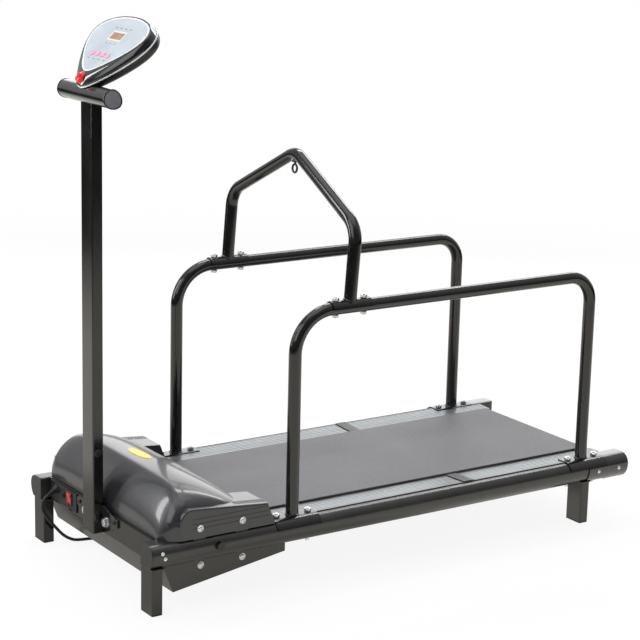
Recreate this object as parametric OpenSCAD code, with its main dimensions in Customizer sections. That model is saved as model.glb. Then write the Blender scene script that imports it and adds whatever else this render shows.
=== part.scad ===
// Treadmill for dogs: a low belt frame with a moulded motor hood, a console mast, handrails and an arch.
// Lengths are in millimetres. X runs from front to rear, Y from left to right, Z up from the floor.
// While building, X is zero at the front faces of the front legs; each piece is then centred in X.

/* [Frame] */
// Distance from the front legs to the rear legs
leg_pitch = 1150; // [900:5:1500]
// Height of the legs under the side rails
leg_h = 102; // [70:1:160]
// Leg and mast tube, the wide way
leg_w = 50; // [40:1:70]
// Leg and mast tube, the narrow way
leg_d = 25; // [20:1:35]
// Side rail length behind the rear legs
rail_over = 105; // [60:1:180]
// Side rail width
rail_w = 50; // [42:1:64]
// Side rail height
rail_h = 50; // [46:1:64]
// Wall of the rails, legs and mast
steel_wall = 2; // [1.5:0.25:3]
// Length of the plastic sleeves on the rear ends of the rails
sleeve_len = 120; // [80:1:150]

/* [Deck and belt] */
// Running belt width
belt_w = 380; // [300:2:560]
// Running belt thickness
belt_t = 2.5; // [1.5:0.1:3.5]
// Height of the belt surface above the rail tops
belt_rise = 3; // [2:0.5:8]
// Deck board thickness
deck_t = 18; // [12:1:22]
// Roller diameter
roller_d = 44; // [40:1:50]
// Distance from the rear roller to the rear rail ends
rear_roller_set = 58; // [45:1:80]
// Depth of the foot strips below the rail tops
strip_drop = 2; // [1:0.5:4]
// Width of the foot strips beside the belt
strip_w = 42; // [30:1:80]

/* [Motor hood] */
// Distance from the front beam face to the front of the hood
hood_set = 8; // [4:1:20]
// Length of the domed part of the hood
hood_len = 215; // [180:1:260]
// Height of the hood above the rail tops
hood_h = 107; // [85:1:130]
// Height of the dome at its rear edge
hood_rear_h = 46; // [40:1:70]
// Wall of the hood
hood_wall = 3; // [2:0.25:4]
// Length of the side cheeks behind the dome
wing_len = 54; // [40:1:80]
// Height of the side cheeks at their front
cheek_h = 65; // [50:1:72]
// Height of the side cheeks at their rear
cheek_rear_h = 48; // [36:1:60]

/* [Mast and console] */
// Height of the mast under the T-bar
mast_h = 1021; // [850:1:1200]
// Length of the T-bar
tbar_len = 210; // [160:2:300]
// Size of the T-bar section along its longer axis
tbar_size = 43; // [38:1:52]
// Tilt of the console face
console_tilt = 42.5; // [30:0.5:55]
// Length of the console face
face_len = 153; // [120:1:190]
// Half the width of the console face, before its taper
face_half = 99; // [80:1:125]

/* [Handrails and arch] */
// Handrail tube diameter
tube_d = 28; // [25:1:34]
// Wall of the handrail tubes
tube_wall = 1.8; // [1.2:0.1:3]
// Distance of the front handrail posts from the front legs
post_front = 353; // [330:1:420]
// Distance of the rear handrail posts from the rear rail ends
post_back = 116; // [90:1:300]
// Height of the handrail axis above the rail tops
handrail_rise = 444; // [300:1:600]
// Bend radius of the handrails at their front
handrail_bend = 90; // [60:1:140]
// Bend radius of the handrails at their rear
rear_bend = 62; // [50:1:140]
// Position of the arch feet behind the front legs
arch_x = 488; // [450:1:700]
// Height of the arch knees above the handrail axis
knee_rise = 171; // [120:1:260]
// Height of the arch peak above its knees
peak_rise = 126; // [80:1:180]
// Rearward lean of the arch
arch_lean = 4; // [0:0.5:8]

/* [Mains lead] */
// Cord diameter
cord_d = 7; // [6:0.25:9]
// Outer radius of the coil, to the cord axis
coil_r = 50; // [46:1:60]
// Turns in one layer of the coil
coil_turns = 2.5; // [2:0.5:3.5]

/* [Hidden] */
$fn = 48;
over = 1;
seat_gap = 0.15;
part_gap = 0.3;
bolt_gap = 0.3;

// Frame positions
strip_gap = 3;
frame_gap = belt_w + 2 * (strip_gap + strip_w);
rail_len = leg_pitch + leg_d + rail_over;
rail_top = leg_h + rail_h;
rail_in = frame_gap / 2;
rail_out = rail_in + rail_w;
rail_crest_r = 0.44 * rail_h;
rail_flank_r = 0.76 * rail_w;
rail_corner_r = 0.08 * rail_h;
post_set = 0.35 * rail_w;
post_y = rail_in + post_set;
cap_t = 4;
cap_plug = 12;
sleeve_t = 2.5;
sleeve_end_t = 5;
plug_t = 3;
plug_in = 14;
tube_corner_r = 3;
grommet_d = 14;
grommet_head = 2;
grommet_z_share = 0.275;

// Beams
mast_lead = 5;
beam_x = leg_d - mast_lead;
beam_d = leg_d;
beam_h = 0.99 * rail_h;
deck_beam_w = 40;
deck_beam_h = 20;
deck_beam_shares = [0.14, 0.49, 0.84];
motor_beam_w = 40;
motor_beam_h = 12;

// Belt path
run_gap = 0.3;
belt_top = rail_top + belt_rise;
roller_z = belt_top - belt_t - run_gap - roller_d / 2;
front_roller_x = beam_x + hood_set + hood_len - 0.06 * wing_len;
rear_roller_x = rail_len - rear_roller_set;
loop_r = roller_d / 2 + run_gap;
roller_side = 2;
roller_half = belt_w / 2 + roller_side;
roller_wall = 3;
axle_d = 12;
axle_fit = 0.05;
bearing_w = 12;
bearing_in = 4;
hanger_l = 36;
hanger_t = 18;
hanger_z0 = leg_h + 0.22 * rail_h;
hanger_drop = 2.6;
hanger_z1 = rail_top - strip_drop - hanger_drop;
axle_end_gap = 3;
slot_run = 6;
tension_d = 8;
tension_head = 6;
tension_af = 13;
deck_gap = 8;
deck_side = 2;
deck_half = belt_w / 2 - deck_side;
deck_front = front_roller_x + loop_r + belt_t + deck_gap;
deck_rear = rear_roller_x - loop_r - belt_t - deck_gap;
deck_top = belt_top - belt_t - run_gap;
deck_bolt_d = 6;

// Foot strips
strip_t = 2;
strip_flange = 12;
strip_in = belt_w / 2 + strip_gap;
strip_lead = 4;
strip_top = rail_top - strip_drop;
strip_x0 = beam_x + hood_set + hood_len + wing_len + strip_lead;
strip_x1 = rail_len - 0.3 * sleeve_len;
clip_len = 29;
clip_t = 2.5;
clip_x_share = 0.535;
clip_edge = 1.5;

// Drive
motor_x = 100;
motor_rise = 60;
motor_z = leg_h + motor_rise;
motor_d = 84;
motor_len = 150;
motor_neck = 14;
shaft_show = 12;
hub_l = 4;
pulley_y = roller_half + hub_l;
motor_y0 = pulley_y - shaft_show - motor_neck - motor_len;
shaft_d = 10;
shaft_y = motor_y0 + motor_len / 3;
pulley_w = 18;
motor_pulley_d = 28;
drive_pulley_d = 76;
pulley_lip = 2;
pulley_bore = 16;
drive_belt_t = 3;
drive_belt_w = 12;
plate_t = 3;
plate_reach = 72;
plate_x1 = motor_x + plate_reach;
plate_y0 = -0.45 * frame_gap;
plate_y1 = 0.47 * frame_gap;
motor_beam_set = 28;
motor_beam_x = motor_x + motor_beam_set;
foot_l = 52;
foot_w = 26;
board_l = 66;
board_w = 90;
board_h = 26;
fin_t = 3;
fin_h = 14;
fin_count = 7;

// Belly pan
pan_t = 1.5;
pan_inset = 17;
pan_y = rail_out - pan_inset;
pan_top = leg_h - part_gap;
pan_front = 34;
plate_x0 = pan_front + 2 * pan_t + part_gap;
pan_drop = 61;
pan_lean = 20;
pan_len = 293;
pan_rear_drop = 20;
cover_bolt_d = 6;
cover_head_d = 13;
cover_head_h = 4;
cover_wash_d = 15;
cover_wash_t = 1.2;
pan_bolt_xs = [119, 220];
pan_bolt_drop = 13;
tab_w = 30;
tab_t = 2;
rail_screw_d = 4;
rail_screw_head_d = 8.5;
rail_screw_head_h = 2.2;
rail_screw_reach = 9;
front_screw_shares = [0.44, 0.68];
rear_screw_share = 0.46;
front_screws = [for (f = front_screw_shares) [leg_d / 2 + leg_d * (1 - f), f]];
rear_screws = [for (x = [0.72, 0.2]) [rail_len - x * sleeve_len, rear_screw_share]];
side_bolt_x = 155;
side_bolt_z = leg_h + 0.57 * rail_h;
side_bolt_d = 10;
side_bolt_af = 17;
side_bolt_head = 8;
side_nut_h = 7;
side_wash_d = 21;
side_wash_t = 1.6;
hood_bolt_xs = [112, 214];
hood_bolt_rise = 21;

// Hood shape
hood_x = beam_x + hood_set;
hood_z = rail_top + seat_gap;
hood_inset = 13;
hood_half = rail_out - hood_inset;
cheek_inset = 7;
cheek_y = rail_out - cheek_inset;
cheek_in = 30;
crown_share = 0.27;
lip_share = 0.06;
lip_run = 0.6;
front_power = 1.6;
side_power = 4.2;
corner_r = 36;
skirt_angle = 4;
dome_cols = 24;
front_rows = 8;
rear_rows = 6;
wing_y = belt_w / 2;
wing_bevel = 20;
cheek_set = 38;
cheek_r = 28;
rear_wall_gap = 10;
rear_wall_z = belt_top + rear_wall_gap;
wing_wall_z = roller_z + drive_pulley_d / 2 + rear_wall_gap;
groove_w = 2.4;
groove_depth = 1;
groove_shares = [0.32, 0.48, 0.64];

// Power panel
panel_t = 3;
panel_y0 = 100;
panel_inset = 8;
panel_y1 = rail_in - panel_inset;
panel_rise = 5;
panel_z0 = leg_h + panel_rise;
panel_h = 43;
rocker_y = 133;
reset_y = 164;
reset_d = 15;
reset_h = 3;
rocker_up = 30;
rocker_z = leg_h + rocker_up;
frame_w = 25;
frame_hgt = 31;
frame_t = 2;
frame_depth = 16;
rocker_w = 17;
rocker_h = 24;
rocker_gap = 0.4;
rocker_pivot = 2;
rocker_rise = 3.4;
rocker_back = 8;
rocker_tilt = 9;
pin_d = 3;

// Mast fittings
wing_t = 4;
wing_span = 69;
wing_rise = 11;
wing_top = rail_top + wing_rise;
mast_bolt_y = 46;
mast_bolt_rise = 30;
mast_bolt_z = leg_h + mast_bolt_rise;
mast_bolt_d = 10;
mast_bolt_af = 16;
mast_bolt_head = 6.5;
mast_wash_d = 22;
mast_wash_t = 2;
small_y = 81;
small_rise = 39;
small_z = leg_h + small_rise;
small_d = 6;
small_head_d = 11;
small_head_h = 3.5;
bolt_reach = 10;

// T-bar and console
tbar_lean = 145;
tbar_taper = 0.12;
tbar_half = 0.45 * tbar_size;
tbar_wall = 2.5;
tbar_cap_t = 3;
tbar_cap_rim = 0.8;
tbar_lead = 4.5;
tbar_x = leg_d / 2 - mast_lead - tbar_lead;
tbar_gap = 2;
tbar_z = mast_h + tbar_half + tbar_gap;
seat_s = 25;
seat_h = 42;
egg_n = 48;
face_taper = 0.52;
house_lead = 30;
house_tail = 8;
house_side = 9;
house_half = face_half + house_side;
house_taper = 0.48;
rim_w = 3;
bezel_h = 16;
bezel_wall_h = 5;
bezel_mid = 4;
trim_t = 2;
trim_out = 1;
shell_mid = 14;
shell_h = 23;
shell_mid_share = 0.97;
shell_end_share = 0.86;
face_t = 2;
pocket_h = 8;
board_t = 1.6;
tact_d = 6;
tact_gap = 0.3;
window_s = 100;
window_w = 54;
window_l = 24;
window_rim = 3;
button_s = 47;
button_pitch = 22;
button_w = 15;
button_l = 9;
button_up = 1.2;
button_travel = 1.2;
button_flange = 1.2;
flange_t = 1;
key_s = -16;
key_d = 23;
key_seat = 12;
key_disc = 10;
key_fin_t = 7;
key_fin_l = 15;
key_fin_h = 1;

// Handrail fittings
tube_lap = 1;
tube_step = 0.05;
handrail_z = rail_top + handrail_rise;
post_rear = rail_len - post_back;
saddle_l = 110;
saddle_t = 3;
saddle_skirt = 16;
saddle_bolt_pitch = 80;
bolt_d = 8;
bolt_af = 13;
bolt_head_h = 5.5;
nut_h = 6.5;
bolt_tip = 2;
arch_saddle_l = 100;
arch_bolt_pitch = 72;
arch_bend = 60;
peak_bend = 50;
arch_slope = atan(peak_rise / post_y);
knee_turn = 90 - arch_slope;
peak_turn = 2 * arch_slope;
eye_r = 9;
eye_wire = 5;
eye_neck = 5;
eye_disc_d = 16;
eye_disc_t = 3;
eye_drop = seat_gap + eye_disc_d * eye_disc_d / (8 * peak_bend - 4 * tube_d);

// Mains lead route: round points chosen by hand, in the building frame
gland_y = 197;
gland_rise = 34;
gland_z = leg_h + gland_rise;
gland_tilt = 30;
gland_len = 22;
gland_flange_d = 20;
gland_flange_t = 3;
gland_root_d = 15;
gland_tip_d = 10;
cord_sides = 10;
coil_sides = 6;
coil_steps = 24;
coil_pitch = 1.09 * cord_d;
coil_tail = 42;
coil_lead = cord_d;
tie_t = 0.8;
tie_w = 9;
tie_gap = 0.3;
coil_x = 270;
coil_y = 40;
coil_z = cord_d / 2 + tie_t + 2 * tie_gap;
plug_relief = 22;
plug_body = 36;
plug_w = 27;
plug_round = 5;
blade_l = 17;
blade_w = 6.4;
blade_t = 1.6;
blade_pitch = 12.7;
pin_l = 20;
ground_d = 4.8;
ground_drop = 6.4;
route = [
    [-15, 197, 113], [-18, 197, 103], [-17, 197, 91], [-12, 197, 80], [-5, 197, 69], [4, 197, 57],
    [14, 197, 45], [24, 197, 33], [35, 197, 22], [48, 197, 13], [62, 197, 7], [78, 196, 5],
    [96, 192, 5], [114, 185, 5], [131, 175, 5], [147, 163, 5], [162, 150, 5], [176, 137, 5],
    [191, 124, 5], [207, 112, 5], [224, 102, 5], [240, 95, 5], [252, 91, 5]];

// Colours of the preview
black = "#1d1d1e";
gloss = "#232325";
zinc = "#c9ccd0";
dark = "#2f3032";
silver = "#b9bdc2";

// Plain helpers

function arc(c, r, a0, a1, n, first = 0) =
    [for (i = [first:n]) c + r * [cos(a0 + (a1 - a0) * i / n), sin(a0 + (a1 - a0) * i / n)]];

function rect(w, h, r) = concat(
    arc([w / 2 - r, h / 2 - r], r, 0, 90, 4),
    arc([r - w / 2, h / 2 - r], r, 90, 180, 4),
    arc([r - w / 2, r - h / 2], r, 180, 270, 4),
    arc([w / 2 - r, r - h / 2], r, 270, 360, 4));

// Side rail section, grown outwards by o: u is measured from the inner face, v from the bottom
function rail_outline(o) =
    let (fc = [rail_w - rail_flank_r, rail_h - rail_crest_r])
    let (fa = asin((-o - fc[1]) / (rail_flank_r + o)))
    concat(
        arc([rail_corner_r, rail_corner_r], rail_corner_r + o, 180, 270, 4),
        arc(fc, rail_flank_r + o, fa, 0, 10),
        arc([rail_w - rail_crest_r, fc[1]], rail_crest_r + o, 0, 90, 12, 1),
        arc([rail_corner_r, rail_h - rail_corner_r], rail_corner_r + o, 90, 180, 4));

// Egg outline, broad at its far end: starts at s0 and is len long
function egg(s0, len, half, taper) =
    [for (i = [0:egg_n - 1]) let (a = 360 * i / egg_n)
        [s0 + len / 2 * (1 + cos(a)), half * sin(a) * (1 + taper * cos(a))]];

function ring(o, h) = [for (p = o) [p[0], p[1], h]];
function blend(a, b, t) = [for (i = [0:len(a) - 1]) a[i] * (1 - t) + b[i] * t];
function shrink(o, c, f) = [for (p = o) c + (p - c) * f];

// Open sheet line moved sideways by t, mitred at its corners
function unit(v) = v / norm(v);
function left_of(v) = [-v[1], v[0]];
function side_line(p, t) = [for (i = [0:len(p) - 1])
    let (a = left_of(unit(p[max(i, 1)] - p[max(i, 1) - 1])))
    let (b = left_of(unit(p[min(i, len(p) - 2) + 1] - p[min(i, len(p) - 2)])))
    p[i] + t * (a + b) / (1 + a * b)];
function backwards(p) = [for (i = [len(p) - 1:-1:0]) p[i]];

// Skin over a list of equal rings, closed at both ends
module loft(rings) {
    n = len(rings[0]);
    m = len(rings);
    pts = [for (r = rings) for (p = r) p];
    skin = [for (j = [0:m - 2]) for (i = [0:n - 1]) let (k = (i + 1) % n)
        for (t = [[j * n + i, j * n + n + i, j * n + k], [j * n + k, j * n + n + i, j * n + n + k]]) t];
    ends = [[for (i = [0:n - 1]) i], [for (i = [n - 1:-1:0]) (m - 1) * n + i]];
    polyhedron(points = pts, faces = concat(skin, ends), convexity = 6);
}

// Directions and side vectors along a path of points
function dir(p, i) = unit(p[min(i + 1, len(p) - 1)] - p[max(i - 1, 0)]);
function across(v, t) = unit(v - (v * t) * t);
function sides_of(p, first) = [for (i = 0, s = across(first, dir(p, 0)); i < len(p); i = i + 1,
    s = i < len(p) ? across(s, dir(p, i)) : s) s];

// Round cord swept along a path
module cord(p, d, n, first) {
    s = sides_of(p, first);
    loft([for (i = [0:len(p) - 1]) let (b = cross(dir(p, i), s[i]))
        [for (k = [0:n - 1]) p[i] + d / 2 * (s[i] * cos(360 * k / n) - b * sin(360 * k / n))]]);
}

module along_x(l) {
    rotate([90, 0, 90]) linear_extrude(l) children();
}

// Extrudes an outline drawn in X and Z, centred on Y
module along_y(l) {
    rotate([90, 0, 0]) linear_extrude(l, center = true) children();
}

// Round bar along Y, centred
module bar_y(d, l) {
    rotate([90, 0, 0]) cylinder(d = d, h = l, center = true);
}

// Round bar along X from x = 0
module bar_x(d, l) {
    rotate([0, 90, 0]) cylinder(d = d, h = l);
}

module box(lo, hi) {
    translate(lo) cube(hi - lo);
}

module both_sides() {
    children();
    mirror([0, 1, 0]) children();
}

module tube_section(d, t) {
    difference() {
        circle(d = d);
        circle(d = d - 2 * t);
    }
}

// Straight piece of tube going up, then whatever follows at its end
module run(l) {
    translate([0, 0, -tube_lap]) linear_extrude(l + 2 * tube_lap) tube_section(tube_d, tube_wall);
    translate([0, 0, l]) children();
}

// Bent piece of tube, turning from up towards +Y, then whatever follows; its ends sit inside the runs
module bend(r, a) {
    translate([0, r, 0]) rotate([90, 0, -90]) rotate_extrude(angle = a)
        translate([r, 0]) tube_section(tube_d - 2 * tube_step, tube_wall - 2 * tube_step);
    translate([0, r * (1 - cos(a)), r * sin(a)]) rotate([-a, 0, 0]) children();
}

module hex(af, h) {
    cylinder(d = af / cos(30), h = h, $fn = 6);
}

// Overall reach, used to centre the whole machine on X
cos_t = cos(console_tilt);
sin_t = sin(console_tilt);
tip_x = tbar_x + seat_s * cos_t - seat_h * sin_t;
tip_z = tbar_z + seat_s * sin_t + seat_h * cos_t;
face_o = egg(0, face_len, face_half, face_taper);
rim_o = egg(-rim_w, face_len + 2 * rim_w, face_half + rim_w, face_taper);
house_o = egg(-house_lead, house_lead + face_len + house_tail, house_half, house_taper);
trim_o = egg(-house_lead - trim_out, house_lead + face_len + house_tail + 2 * trim_out,
    house_half + trim_out, house_taper);
house_c = [house_lead, 0];
shell_c = [0.72 * face_len, 0];
function tbar_o(o) = let (e = egg(-o - tbar_size / 2, tbar_size + 2 * o, tbar_half + o, tbar_taper))
    [for (p = e) [p[0] * cos(tbar_lean) - p[1] * sin(tbar_lean), p[0] * sin(tbar_lean) + p[1] * cos(tbar_lean)]];
tbar_front = tbar_x + min([for (p = tbar_o(tbar_cap_rim)) p[0]]);
console_front = tip_x - (house_lead + trim_out) * cos_t + (bezel_h + trim_t) * sin_t;
key_front = tip_x + (key_s - key_fin_t / 2) * cos_t - (key_disc + key_fin_h + key_fin_l / 2 - key_seat) * sin_t;
front_reach = min(tbar_front, console_front, key_front);
rear_reach = rail_len + sleeve_end_t;
mid_x = (front_reach + rear_reach) / 2;

module centred() {
    translate([-mid_x, 0, 0]) children();
}

// Rails, legs and beams

saddle_xs = [post_front, post_rear];
saddle_bolt_xs = [for (x = saddle_xs) for (s = [-1, 1]) x + s * saddle_bolt_pitch / 2];
sleeve_x = rail_len - sleeve_len + sleeve_end_t;

module side_rail() {
    difference() {
        translate([0, rail_in, leg_h]) along_x(rail_len) polygon(rail_outline(0));
        translate([-over, rail_in, leg_h]) along_x(rail_len + 2 * over) polygon(rail_outline(-steel_wall));
        for (x = saddle_bolt_xs)
            translate([x, post_y, leg_h - over]) cylinder(d = bolt_d + 2 * bolt_gap, h = rail_h + 2 * over);
        translate([side_bolt_x, rail_in, side_bolt_z]) bar_y(side_bolt_d + 2 * bolt_gap, 4 * rail_w);
        for (p = concat(front_screws, rear_screws)) translate([p[0], rail_out, leg_h + p[1] * rail_h])
            bar_y(rail_screw_d + 2 * bolt_gap, rail_w);
    }
}

module left_side_rail() {
    color(black) centred() mirror([0, 1, 0]) side_rail();
}

module right_side_rail() {
    color(black) centred() side_rail();
}

module rail_front_caps() {
    color(gloss) centred() both_sides() {
        translate([-cap_t, rail_in, leg_h]) along_x(cap_t) polygon(rail_outline(0));
        translate([0, rail_in, leg_h]) along_x(cap_plug) polygon(rail_outline(-steel_wall - seat_gap));
    }
}

module rail_rear_caps() {
    color(gloss) centred() both_sides() difference() {
        translate([sleeve_x, rail_in, leg_h]) along_x(sleeve_len) polygon(rail_outline(seat_gap + sleeve_t));
        translate([sleeve_x - over, rail_in, leg_h]) along_x(sleeve_len - sleeve_end_t + over)
            polygon(rail_outline(seat_gap));
        box([sleeve_x - over, rail_in - rail_w, leg_h - rail_h],
            [rail_len + rail_w, rail_in + part_gap, rail_top + rail_h]);
        box([sleeve_x - over, rail_in - rail_w, rail_top - saddle_skirt - over],
            [post_rear + saddle_l / 2 + over, rail_out + rail_w, rail_top + rail_h]);
        box([sleeve_x - over, rail_in - rail_w, leg_h - rail_h],
            [post_rear + saddle_l / 2 + over, rail_out + rail_w, leg_h + part_gap]);
        for (p = rear_screws) translate([p[0], rail_out, leg_h + p[1] * rail_h])
            bar_y(rail_screw_d + 2 * bolt_gap, rail_w);
    }
}

module front_beam() {
    color(black) centred() difference() {
        box([beam_x, -rail_in, leg_h], [beam_x + beam_d, rail_in, leg_h + beam_h]);
        box([beam_x + steel_wall, -rail_in - over, leg_h + steel_wall],
            [beam_x + beam_d - steel_wall, rail_in + over, leg_h + beam_h - steel_wall]);
        for (s = [-1, 1]) {
            translate([beam_x - over, s * mast_bolt_y, mast_bolt_z])
                bar_x(mast_bolt_d + 2 * bolt_gap, steel_wall + 2 * over);
            translate([beam_x - over, s * small_y, small_z])
                bar_x(small_d + 2 * bolt_gap, steel_wall + 2 * over);
        }
        translate([beam_x - over, rocker_y, rocker_z])
            box([0, -frame_w / 2 + frame_t, -frame_hgt / 2 + frame_t],
                [steel_wall + 2 * over, frame_w / 2 - frame_t, frame_hgt / 2 - frame_t]);
    }
}

module hollow_beam(x, w, z0, z1) {
    difference() {
        box([x, -rail_in, z0], [x + w, rail_in, z1]);
        box([x + steel_wall, -rail_in - over, z0 + steel_wall],
            [x + w - steel_wall, rail_in + over, z1 - steel_wall]);
    }
}

module cross_beams() {
    z1 = deck_top - deck_t;
    color(black) centred() {
        for (s = deck_beam_shares)
            hollow_beam(deck_front + s * (deck_rear - deck_front) - deck_beam_w / 2, deck_beam_w,
                z1 - deck_beam_h, z1);
        hollow_beam(motor_beam_x, motor_beam_w, leg_h, leg_h + motor_beam_h);
    }
}

module upright(h) {
    linear_extrude(h) difference() {
        polygon(rect(leg_d, leg_w, tube_corner_r));
        polygon(rect(leg_d - 2 * steel_wall, leg_w - 2 * steel_wall, tube_corner_r - steel_wall));
    }
}

leg_xs = [leg_d / 2, leg_pitch + leg_d / 2];

module legs() {
    color(black) centred() both_sides() for (x = leg_xs)
        translate([x, post_y, plug_t]) upright(leg_h - plug_t);
}

module plug() {
    linear_extrude(plug_t) polygon(rect(leg_d, leg_w, tube_corner_r));
    translate([0, 0, plug_t]) linear_extrude(plug_in)
        polygon(rect(leg_d - 2 * (steel_wall + seat_gap), leg_w - 2 * (steel_wall + seat_gap), tube_corner_r - steel_wall));
}

// Feet in the legs, the plug under the mast and the round plug in its side
module tube_plugs() {
    color(gloss) centred() {
        both_sides() for (x = leg_xs) translate([x, post_y, 0]) plug();
        translate([leg_d / 2 - mast_lead, 0, leg_h]) plug();
        translate([leg_d / 2 - mast_lead, -leg_w / 2, grommet_z_share * mast_h]) rotate([90, 0, 0]) {
            translate([0, 0, -steel_wall - over]) cylinder(d = grommet_d - 2 * bolt_gap, h = steel_wall + 2 * over);
            cylinder(d1 = grommet_d + 2 * grommet_head, d2 = grommet_d, h = grommet_head);
        }
    }
}

// Deck, belt and strips

module deck_board() {
    color("#6d5b45") centred()
        box([deck_front, -deck_half, deck_top - deck_t], [deck_rear, deck_half, deck_top]);
}

function loop_o(r) = concat(
    arc([front_roller_x, roller_z], r, 90, 270, 24),
    arc([rear_roller_x, roller_z], r, 270, 450, 24));

module running_belt() {
    color("#8b8b8e") centred() along_y(belt_w) difference() {
        polygon(loop_o(loop_r + belt_t));
        polygon(loop_o(loop_r));
    }
}

module side_strips() {
    color(silver) centred() both_sides() {
        box([strip_x0, strip_in, strip_top - strip_t], [strip_x1, rail_in, strip_top]);
        box([strip_x0, rail_in - strip_t, strip_top - strip_t - strip_flange],
            [rear_roller_x - hanger_l, rail_in, strip_top - strip_t]);
    }
}

module strip_clips() {
    x = clip_x_share * (rail_len - strip_x0) + strip_x0 - clip_len / 2;
    color(dark) centred() both_sides()
        box([x, strip_in + clip_edge, strip_top], [x + clip_len, rail_in - clip_edge, strip_top + clip_t]);
}

// Rollers and drive

module roller(x, y1) {
    translate([x, 0, roller_z]) difference() {
        translate([0, (y1 - roller_half) / 2, 0]) bar_y(roller_d, y1 + roller_half);
        bar_y(roller_d - 2 * roller_wall, 2 * roller_half + 2 * over);
    }
}

module front_roller() {
    color(zinc) centred() roller(front_roller_x, roller_half);
}

module rear_roller() {
    color(zinc) centred() roller(rear_roller_x, roller_half);
}

module bearing_pair(x) {
    both_sides() translate([x, roller_half - bearing_in - bearing_w / 2, roller_z]) difference() {
        bar_y(roller_d - 2 * roller_wall, bearing_w);
        bar_y(axle_d + 2 * axle_fit, bearing_w + 2 * over);
    }
}

module front_bearings() {
    color(silver) centred() bearing_pair(front_roller_x);
}

module rear_bearings() {
    color(silver) centred() bearing_pair(rear_roller_x);
}

module roller_axles() {
    color(zinc) centred() for (x = [front_roller_x, rear_roller_x])
        translate([x, 0, roller_z]) bar_y(axle_d, frame_gap - 2 * axle_end_gap);
}

module roller_hangers() {
    hole = axle_d + 2 * seat_gap;
    y = rail_in - hanger_t / 2;
    color(black) centred() both_sides() for (x = [front_roller_x, rear_roller_x]) difference() {
        box([x - hanger_l / 2, rail_in - hanger_t, hanger_z0], [x + hanger_l / 2, rail_in, hanger_z1]);
        translate([x, y, roller_z]) bar_y(hole, hanger_t + 2 * over);
        translate([x - slot_run, y, roller_z]) bar_y(hole, hanger_t + 2 * over);
        box([x - slot_run, rail_in - hanger_t - over, roller_z - hole / 2], [x, rail_in + over, roller_z + hole / 2]);
        translate([x, y, roller_z]) bar_x(tension_d + 2 * bolt_gap, hanger_l);
    }
}

// Bolts that tension the rear roller, and the hex bolts through the rails beside the motor
module frame_bolts() {
    x = rear_roller_x + axle_d / 2 + seat_gap;
    color(dark) centred() both_sides() translate([side_bolt_x, 0, side_bolt_z]) rotate([-90, 0, 0]) {
        translate([0, 0, rail_in - side_nut_h]) {
            hex(side_bolt_af, side_nut_h - seat_gap);
            cylinder(d = side_bolt_d, h = rail_w + side_nut_h + seat_gap);
        }
        translate([0, 0, rail_out + seat_gap]) {
            cylinder(d = side_wash_d, h = side_wash_t);
            hex(side_bolt_af, side_bolt_head);
        }
    }
    color(zinc) centred() both_sides() translate([x, rail_in - hanger_t / 2, roller_z]) {
        bar_x(tension_d, hanger_l / 2 - axle_d / 2);
        translate([hanger_l / 2 - axle_d / 2 - seat_gap, 0, 0]) rotate([0, 90, 0]) hex(tension_af, tension_head);
    }
}

// Grooved pulley along Y from y = 0
module pulley(d, bore) {
    rotate([-90, 0, 0]) difference() {
        union() {
            cylinder(d = d, h = pulley_w);
            cylinder(d = d + 2 * pulley_lip, h = pulley_lip);
            translate([0, 0, pulley_w - pulley_lip]) cylinder(d = d + 2 * pulley_lip, h = pulley_lip);
        }
        translate([0, 0, -over]) cylinder(d = bore, h = pulley_w + 2 * over);
    }
}

module drive_pulley() {
    color(dark) centred() translate([front_roller_x, pulley_y, roller_z]) {
        pulley(drive_pulley_d, pulley_bore);
        rotate([90, 0, 0]) difference() {
            translate([0, 0, -over]) cylinder(d = roller_d, h = hub_l + over);
            translate([0, 0, -2 * over]) cylinder(d = pulley_bore, h = hub_l + 4 * over);
        }
    }
}

// Pulley with the motor shaft, which turns inside the motor
module motor_pulley() {
    color(dark) centred() translate([motor_x, pulley_y, motor_z]) {
        pulley(motor_pulley_d, shaft_d / 2);
        rotate([90, 0, 0]) translate([0, 0, -pulley_w]) cylinder(d = shaft_d, h = pulley_y + pulley_w - shaft_y);
    }
}

module drive_motor() {
    y1 = motor_y0 + motor_len;
    color("#3a3b3e") centred() difference() {
        translate([motor_x, motor_y0, motor_z]) rotate([-90, 0, 0]) {
            cylinder(d = motor_d, h = motor_len);
            cylinder(d = motor_d + 2 * motor_neck / 4, h = motor_neck);
            translate([0, 0, motor_len - motor_neck]) cylinder(d = motor_d + 2 * motor_neck / 4, h = motor_neck);
            translate([0, 0, motor_len]) cylinder(d = 3 * shaft_d, h = motor_neck);
        }
        translate([motor_x, shaft_y - axle_end_gap, motor_z]) rotate([-90, 0, 0])
            cylinder(d = shaft_d + 2 * axle_fit, h = motor_len);
    }
    color("#3a3b3e") centred() for (y = [motor_y0 + 2 * motor_neck, y1 - 2 * motor_neck - foot_w]) difference() {
        box([motor_x - foot_l / 2, y, leg_h], [motor_x + foot_l / 2, y + foot_w, motor_z - motor_d / 4]);
        translate([motor_x, y, motor_z]) bar_y(motor_d, 4 * foot_w);
    }
}

module motor_plate() {
    color(black) centred()
        box([plate_x0, plate_y0, leg_h - plate_t], [plate_x1, plate_y1, leg_h]);
}

// Closed belt line over two wheels a and b with radii ra and rb
function belt_line(a, ra, b, rb) =
    let (d = norm(b - a))
    let (base = atan2(b[1] - a[1], b[0] - a[0]))
    let (turn = acos((ra - rb) / d))
    concat(arc(a, ra, base + turn, base + 360 - turn, 20), arc(b, rb, base - turn, base + turn, 28));

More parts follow.
